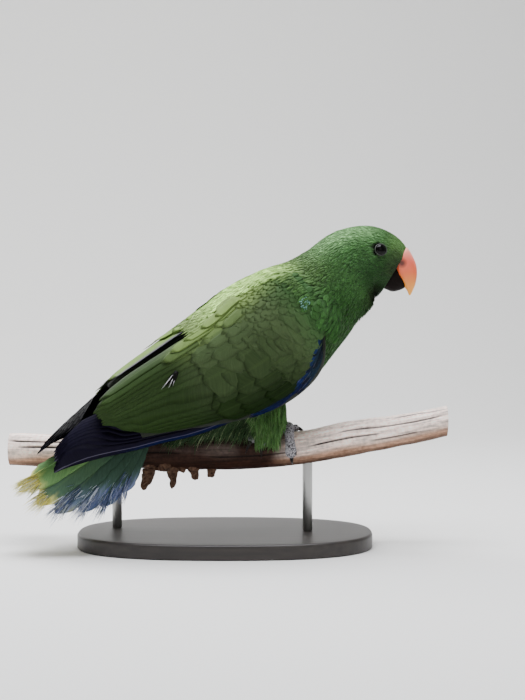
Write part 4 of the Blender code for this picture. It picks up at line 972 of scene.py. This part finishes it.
for title, path in THIGHS.items():
    def thigh_place(t, turn, lift, path=path):
        """A thigh's surface in millimetres: t down its length, turn round it in degrees, lift outwards."""
        hip, knee, ankle = (np.array(point) for point in path)
        t, turn, lift = np.broadcast_arrays(t, turn, lift)
        s, angle = t[..., None], np.radians(turn)
        reach_x, reach_y = (np.interp(t, THIGH_REACH_AT, reach) + lift for reach in THIGH_REACHES)
        return ((1 - s) ** 2 * hip + 2 * s * (1 - s) * knee + s ** 2 * ankle
                + np.stack([reach_x * np.cos(angle), reach_y * np.sin(angle), 0 * angle], -1))

    # The core takes the skin's painted shade: its green at less than half its brightness
    core = thigh_place(np.linspace(0, 0.95, 14)[:, None], np.arange(24) * 15.0, -1.5)
    core = closed_piece("thigh_core_" + title, core * MM, skin_surface)
    set_tint(core, painted(THIGH_GREEN, len(core.data.vertices)))
    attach(core, "root")
    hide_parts("thigh_" + title)
    number = THIGH_FEATHERS
    t, turn = draw.uniform(0, 0.95, number) ** 0.9, draw.uniform(0, 360, number)
    root = thigh_place(t, turn, -1.2)
    ahead = thigh_place(t + 0.3, turn + draw.normal(0, 7, number), 0.6 + draw.normal(0, 0.6, number))
    bend = scattered(number, (0, 0.6), (0, 0.6), hang=(0, 1.5)) * [1, 1, -1]
    tints = mix(painted(THIGH_GREEN, number), THIGH_PALE, 0.5 * (draw.random(number) < 0.25))
    tints = mix(tints, THIGH_DARK, 0.45 * (draw.random(number) < 0.3))
    piece = lay_blades("thigh_feathers_" + title, root, unit(ahead - root), bend, draw.uniform(6, 14, number),
                       draw.uniform(1.2, 2.6, number), tints, bake_place(20 + 60 * t, 180 + turn / 4),
                       contour_plumage)

number = WISPS
at, turn = draw.uniform(40, 112, number), draw.uniform(104, 172, number)
root = on_form(BODY, at, turn, -0.6) / MM
way = unit(on_form(BODY, at + 6, turn, 0.6) / MM - root)
way = unit(way + np.stack([0 * at, draw.normal(0, 0.12, number), -draw.uniform(0.25, 0.75, number)], -1))
bend = scattered(number, (0, 1.0), (-0.6, 0.8), hang=(0.5, 4)) * [1, 1, -1]
pale = draw.random(number) < 0.06
root[:HUNG] = np.stack([38 - 80 * draw.random(HUNG) ** 1.25, draw.uniform(-21, 11, HUNG), 0 * at[:HUNG]], -1)
root[:HUNG, 2] = 101 + 0.16 * root[:HUNG, 0] + draw.normal(0, 2.2, HUNG) - 3 * blend(0, 18, root[:HUNG, 0])
# Dark wisps, darker towards the rear: the belly's own dark green and painted shade under the wing
tints = painted(WISP_DARK_AND_SHADE, number) * draw.normal(1, 0.15, (number, 1))
tints = mix(mix(tints, WISP_GREEN, 0.45 * blend(-14, 6, root[:, 0])), WISP_PALE, 0.85 * pale)
way[:HUNG] = unit(np.stack([draw.normal(middle, width, HUNG)
                            for middle, width in ((-0.6, 0.2), (-0.08, 0.15), (-0.8, 0.15))], -1))
wisps = lay_blades("vent_wisps", root, way, bend, draw.uniform(10, 17, number) + 5 * pale,
                   draw.uniform(1.8, 3.6, number) * (1 - 0.55 * pale), tints, bake_place(at, turn),
                   contour_plumage)

# Feet: grey scaly skin over bone, two toes to each side of the branch, with dark hooked claws. Each
# toe is a tube ringed by scutes, drawn finer than the solids'.
BRANCH_X = (-176, -140, -60, 4, 60, 100, 135, 176)
BRANCH_Y = (23, 19.5, 10.5, 4, -2, -6.5, -10, -14)
BRANCH_Z = (74.8, 74.4, 74.2, 74.0, 78.6, 87.0, 92.6, 101.4)
BRANCH_RADIUS = (13.1, 13.2, 13.4, 13.6, 13.0, 14.0, 12.6, 12.2)
# Each foot's place along the branch, its ankle, and its toes' lean, turn round the branch and radius
FEET = {"right": (50.0, (38.5, -18.6, 100.5), ((3, 107, 3.9), (9, -24, 2.9), (-6, -80, 2.8), (4, -84, 3.0))),
        "left": (29.0, (21, 13.2, 103.5), ((1, -92, 3.1), (8, -84, 2.9), (-9, 58, 2.8), (0, 72, 2.9)))}
SOLE_RADIUS, TARSUS_RADIUS, BALL_RADIUS, SCUTE = 4.2, 3.3, 4.4, 1.9
TOE_CLEAR, TOE_SWELL = 0.3, (1.22, 1.16, 0.94, 0.9, 1.0, 1.16, 1.0)
CLAW_RADIUS, CLAW_LENGTH, CLAW_HOOK, CLAW_SUNK = 1.75, 8.0, 6.4, 1.2


def branch_point(x):
    """The branch's middle at places along it."""
    return np.stack([np.asarray(x, float), smooth(x, BRANCH_X, BRANCH_Y), smooth(x, BRANCH_X, BRANCH_Z)], -1)


def grip(x, turn, reach):
    """Points at a distance off the bark; turn is in degrees from the top to the near side."""
    radius, angle = smooth(x, BRANCH_X, BRANCH_RADIUS) + reach, np.radians(turn)
    return branch_point(x) + np.stack([0 * angle, -np.sin(angle) * radius, np.cos(angle) * radius], -1)


def tube(path, radii, sides):
    """Rings of a round section along a path: each radius stands square to the path's direction."""
    ways = unit(np.gradient(path, axis=0))
    across = unit(np.cross(ways, [0.0, 1.0, 0.001] if abs(ways[0][1]) < 0.8 else [1.0, 0.0, 0.001]))
    turns = (np.arange(sides) * 2 * math.pi / sides)[:, None]
    return path[:, None] + radii[..., None] * (across[:, None] * np.cos(turns)
                                               + np.cross(ways, across)[:, None] * np.sin(turns))


def joined_piece(name, grids, surface):
    """Closed forms from rings in millimetres, put together as one mesh, each turned outwards."""
    closed = [capped(grid * MM) for grid in grids]
    starts = np.cumsum([0] + [len(points) for points, _ in closed])
    return make_mesh(name, np.vstack([points for points, _ in closed]),
                     np.vstack([outward(*part) + start for part, start in zip(closed, starts)]), surface)


# Voronoi cells a millimetre across, raised, with dark seams between, show as grey scales
scale_skin, scale_shader = new_material("scaly_grey_foot_skin", "#8c8790", 0.6)
scale_place = add_node(scale_shader, "TexCoord", out="Object")
scale_cells = add_node(scale_shader, "TexVoronoi", Scale=800.0, Vector=scale_place)
scale_seams = maths(scale_shader, "MULTIPLY", scale_cells, grain(scale_shader, 260.0, 3.0))
two_tone(scale_shader, ranged(scale_shader, scale_seams, 0.04, 0.42), "#cbc8ce", "#292427")
bumpy(scale_shader, scale_cells, 0.0005, 0.9, invert=True)
# Smooth dark horn with little shine
claw_horn, claw_shader = new_material("dark_claw_horn", "#26211f", 0.45, Specular_IOR_Level=0.2)
two_tone(claw_shader, grain(claw_shader, 500.0, 3.0), "#0c0908", "#2b2522")

for title, (foot_x, ankle, toes) in FEET.items():
    ankle, sole = np.array(ankle), grip(foot_x, 0.0, TOE_CLEAR + SOLE_RADIUS)
    t = np.linspace(0, 1, 26)[:, None]
    tarsus = ((1 - t) ** 2 * (ankle + [-1.0, 0, 2.0]) + 2 * t * (1 - t) * ((sole + ankle) / 2 + [0, 0, 2.2])
              + t ** 2 * sole)
    rings = 1 + 0.05 * np.abs(np.sin(t * 22)) + 0.25 * np.abs(t - 0.5) ** 2
    ball_turn = np.linspace(-math.pi / 2 + 0.05, math.pi / 2 - 0.05, 16)[:, None]
    parts = [tube(tarsus, TARSUS_RADIUS * rings, 20),
             tube(sole + np.sin(ball_turn) * [4.6, 0, 0], BALL_RADIUS * np.cos(ball_turn) ** 0.5, 20)]
    claws = []
    for lean, turn, radius in toes:
        step = np.linspace(0.05, 1.0, 64)
        path = grip(foot_x + lean * step, turn * step, TOE_CLEAR + radius * 1.2)
        swell = np.interp(step, np.linspace(0.08, 1, 7), TOE_SWELL)
        run = np.append(0, np.cumsum(np.linalg.norm(np.diff(path, axis=0), axis=-1)))
        scutes = 1 + 0.055 * np.abs(np.sin(run * math.pi / SCUTE))
        end = np.sqrt(np.clip((run[-1] - run) / 2.6, 0.02, 1))
        parts.append(tube(path, (radius * swell * scutes * end)[:, None], 22))
        way, inward = unit(path[-1] - path[-4]), unit(branch_point(foot_x + lean) - path[-1])
        s = np.linspace(0, 1, 22)[:, None]
        hook = path[-1] - way * CLAW_SUNK + way * (CLAW_LENGTH + CLAW_SUNK) * s + inward * CLAW_HOOK * s ** 2
        claws.append(tube(hook, CLAW_RADIUS * (1 - 0.95 * s ** 1.3), 16))
    foot_piece = joined_piece("foot_skin_" + title, parts, scale_skin)
    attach(foot_piece, "root")
    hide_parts("foot_" + title)
    for number, rings in enumerate(claws, 1):
        claw_piece = closed_piece(f"claw_horn_{title}_{number}", rings * MM, claw_horn)
        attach(claw_piece, "root")
        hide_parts(f"claw_{title}_{number}")

# The perch is a length of weathered branch without bark, pinkish grey above and brown beneath, partly from
# weathering and partly as painted light and shade, darker under the bird where a little bark is left and
# with the bird's painted shadow, split by long cracks darkened with painted shade, with the stubs of broken
# twigs below. Its ends are sawn.
# Stubs by x, x of the end, drop, radius and end radius; cracks by start, end, angle and depth
STUBS = ((-56, -66, 26, 7.5, 2.2), (-41, -43, 25, 6.8, 1.4), (-49, -50, 12, 8.5, 4.0),
         (-26, -24, 17, 6.4, 2.4), (-12, -11, 16, 5.0, 2.4), (-34, -33, 8, 7.0, 4.0),
         (-58, -60, 11, 9.5, 6.0), (-46, -47, 10, 9.0, 6.0))
CRACKS = ((-178, -118, 52, 1.5), (-170, -104, 74, 1.3), (-150, -112, 36, 0.8),
          (62, 128, 84, 1.0), (84, 176, 60, 0.9), (110, 160, 102, 0.8),
          (-20, 60, 96, 0.8), (-90, -30, 88, 0.8), (130, 178, 28, 0.8))
CRACK_WIDTH, CRACK_END = 2.6, 14
GRAINS = ((0.9, 9, 4, 1), (0.55, 30, 16, 2), (0.35, 26, 60, 3))       # height, cells along and round, seed
WOOD_PINK, WOOD_TAN, WOOD_BROWN = "#f0dcd0", "#a8836c", "#3c271c"
# Under the bird, bark left there and painted shadow; in the cracks, painted shade
WOOD_BARK_AND_SHADOW, WOOD_CRACK_SHADE = "#3a1e12", "#120c0a"


def value_noise(rows_at, columns_at, rows, columns, seed):
    """Smooth noise from 0 to 1: a random lattice, cosine-blended between, that wraps across the columns."""
    lattice = np.random.default_rng(seed).random((rows + 2, columns))
    u, v = np.clip(rows_at, 0, 0.9999) * rows, (columns_at % 1) * columns
    row, column = np.floor(u).astype(int), np.floor(v).astype(int) % columns
    s, t = (1 - np.cos((u - row) * math.pi)) / 2, (1 - np.cos((v - np.floor(v)) * math.pi)) / 2
    after = (column + 1) % columns
    return ((lattice[row, column] * (1 - s) + lattice[row + 1, column] * s) * (1 - t)
            + (lattice[row, after] * (1 - s) + lattice[row + 1, after] * s) * t)


# Bare weathered wood: long fibres and pits over the piece's own tints make it dry and silvery
bark, bark_shader = new_material("weathered_barkless_branch", "#b79c8a", 0.85, Specular_IOR_Level=0.2)
bark_height = maths(bark_shader, "ADD", grain(bark_shader, 1.0, 5.0, (60.0, 700.0, 700.0), 0.7),
                    grain(bark_shader, 330.0, 4.0))
fill(bark_shader, Base_Color=tinted(bark_shader, ranged(bark_shader, bark_height, 0.75, 1.25, 0.66, 1.2)))
bumpy(bark_shader, bark_height, 0.0008, 0.9)

branch_at, branch_turn = np.linspace(BRANCH_X[0], BRANCH_X[-1], 560)[:, None], np.arange(120) * 3.0
share_u, share_v = (branch_at - BRANCH_X[0]) / (BRANCH_X[-1] - BRANCH_X[0]), branch_turn[None, :] / 360
relief = sum(height * (value_noise(share_u, share_v, *cells) - 0.5) for height, *cells in GRAINS)
groove = np.zeros_like(relief)
for start, end, turn, depth in CRACKS:
    wander = turn + 5 * (value_noise(share_u, 0 * share_u, 14, 1, turn) - 0.5)
    inside = blend(start, start + CRACK_END, branch_at) * blend(end, end - CRACK_END, branch_at)
    groove = np.maximum(groove, depth * inside * np.exp(-((branch_turn - wander) / CRACK_WIDTH) ** 2))
parts = [grip(branch_at + 0 * branch_turn, branch_turn + 0 * branch_at, relief - groove)]
patch = value_noise(share_u, share_v, 12, 5, 5)
# Pink on top and brown beneath by the way the wood faces: partly its own weathering, partly painted light and
# shade
facing = np.cos(np.radians(branch_turn - 20)) + 0.5 * (patch - 0.5)
tints = mix(painted(WOOD_TAN, *relief.shape), WOOD_PINK, blend(-0.35, 0.35, facing))
tints = mix(tints, WOOD_BROWN, 0.85 * blend(-0.25, -0.85, facing))
# Darker under the bird: partly bark left there, partly the bird's painted shadow
under_bird = blend(-100, -70, branch_at) * blend(58, 30, branch_at)
tints = mix(tints, WOOD_BARK_AND_SHADOW, np.minimum(0.97, under_bird * (0.8 + 0.5 * patch)))
streaks = 0.72 + 0.95 * value_noise(share_u, share_v, 22, 90, 8)
# Darker again under the bird as painted shadow; the streaks are the wood's grain
tints = tints * ((1 - 0.5 * under_bird) * streaks)[..., None]
# Cracks darkened by their depth: painted shade
tints = mix(tints, WOOD_CRACK_SHADE, np.clip(groove / 0.7, 0, 1))
tints = [tints.reshape(-1, 3), tints[0].mean(0, keepdims=True), tints[-1].mean(0, keepdims=True)]
for number, (x, end_x, drop, radius, end_radius) in enumerate(STUBS):
    start, end = branch_point(x), branch_point(end_x) - [0, 4.0, drop + 4.0]
    s = np.linspace(0, 1, 30)[:, None]
    path = start + (end - start) * s + 1.5 * (value_noise(s, 0 * s, 6, 1, 20 + number) - 0.5)
    flare = end_radius + (radius - end_radius) * (1 - s) ** 0.8
    rough = 1 + 0.7 * (value_noise(s, np.arange(24)[None, :] / 24, 9, 7, 30 + number) - 0.5)
    parts.append(tube(path, flare * rough * np.sqrt(np.clip((1 - s) / 0.06, 0.05, 1)), 24))
    count = parts[-1].size // 3 + 2                # with the two cap points
    tints.append(mix(painted(WOOD_BROWN, count), WOOD_TAN, draw.random(count) * 0.35))
perch_piece = joined_piece("perch_wood", parts, bark)
set_tint(perch_piece, np.vstack(tints))
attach(perch_piece, "root")
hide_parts("perch")

# The stand is an oval plinth of black-stained beech, its upper edge rounded, and two brushed steel
# rods let into it that run up to hollows under the branch.
BASE_LENGTH, BASE_WIDTH, BASE_HEIGHT, BASE_POWER, BASE_EDGE = 236, 150, 12, 2.5, 2.2
ROD_RADIUS, ROD_X = 4.0, {"front": 66, "rear": -88}
SHARP = math.radians(35)

# Stained beech is nearly black with a faint long grain and a soft sheen
stain, stain_shader = new_material("black_stained_beech", "#25211f", 0.42)
two_tone(stain_shader, grain(stain_shader, 1.0, 5.0, (12.0, 260.0, 260.0)), "#161312", "#3b3430")
corner, turns = np.linspace(0, math.pi / 2, 7), np.arange(180) * 2 * math.pi / 180
inset = np.concatenate([[0.8, 0.0], BASE_EDGE * (1 - np.cos(corner)), [12, 60]])[:, None]
height = np.concatenate([[0.0, 0.8], BASE_HEIGHT + BASE_EDGE * (np.sin(corner) - 1), [BASE_HEIGHT] * 2])
round_x, round_y = squared(turns, BASE_POWER)
rings = np.stack([(BASE_LENGTH / 2 - inset) * round_x, (BASE_WIDTH / 2 - inset) * round_y,
                  height[:, None] + 0 * turns], -1)
base_piece = closed_piece("plinth", rings * MM, stain)
base_piece.data.set_sharp_from_angle(angle=SHARP)
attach(base_piece, "root")
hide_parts("stand_base")
# Steel brushed round the rod: fine lines across its length break up the reflections
steel, steel_shader = new_material("brushed_steel_rod", "#a2a2a0", 0.34, Metallic=1.0)
bumpy(steel_shader, grain(steel_shader, 1.0, 3.0, (900.0, 900.0, 14.0)), 0.0001, 0.4)
for title, x in ROD_X.items():
    foot = branch_point(x)
    top = foot[2] - smooth(x, BRANCH_X, BRANCH_RADIUS) + 1.2
    heights = np.array([BASE_HEIGHT + 0.3, BASE_HEIGHT + 1, top])
    path = np.stack([foot[0] + 0 * heights, foot[1] + 0 * heights, heights], -1)
    radii = np.array([[ROD_RADIUS - 0.3], [ROD_RADIUS], [ROD_RADIUS]])
    rod = closed_piece("rod_" + title, tube(path, radii, 48) * MM, steel)
    rod.data.set_sharp_from_angle(angle=SHARP)
    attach(rod, "root")
    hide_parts("stand_rod_" + title)
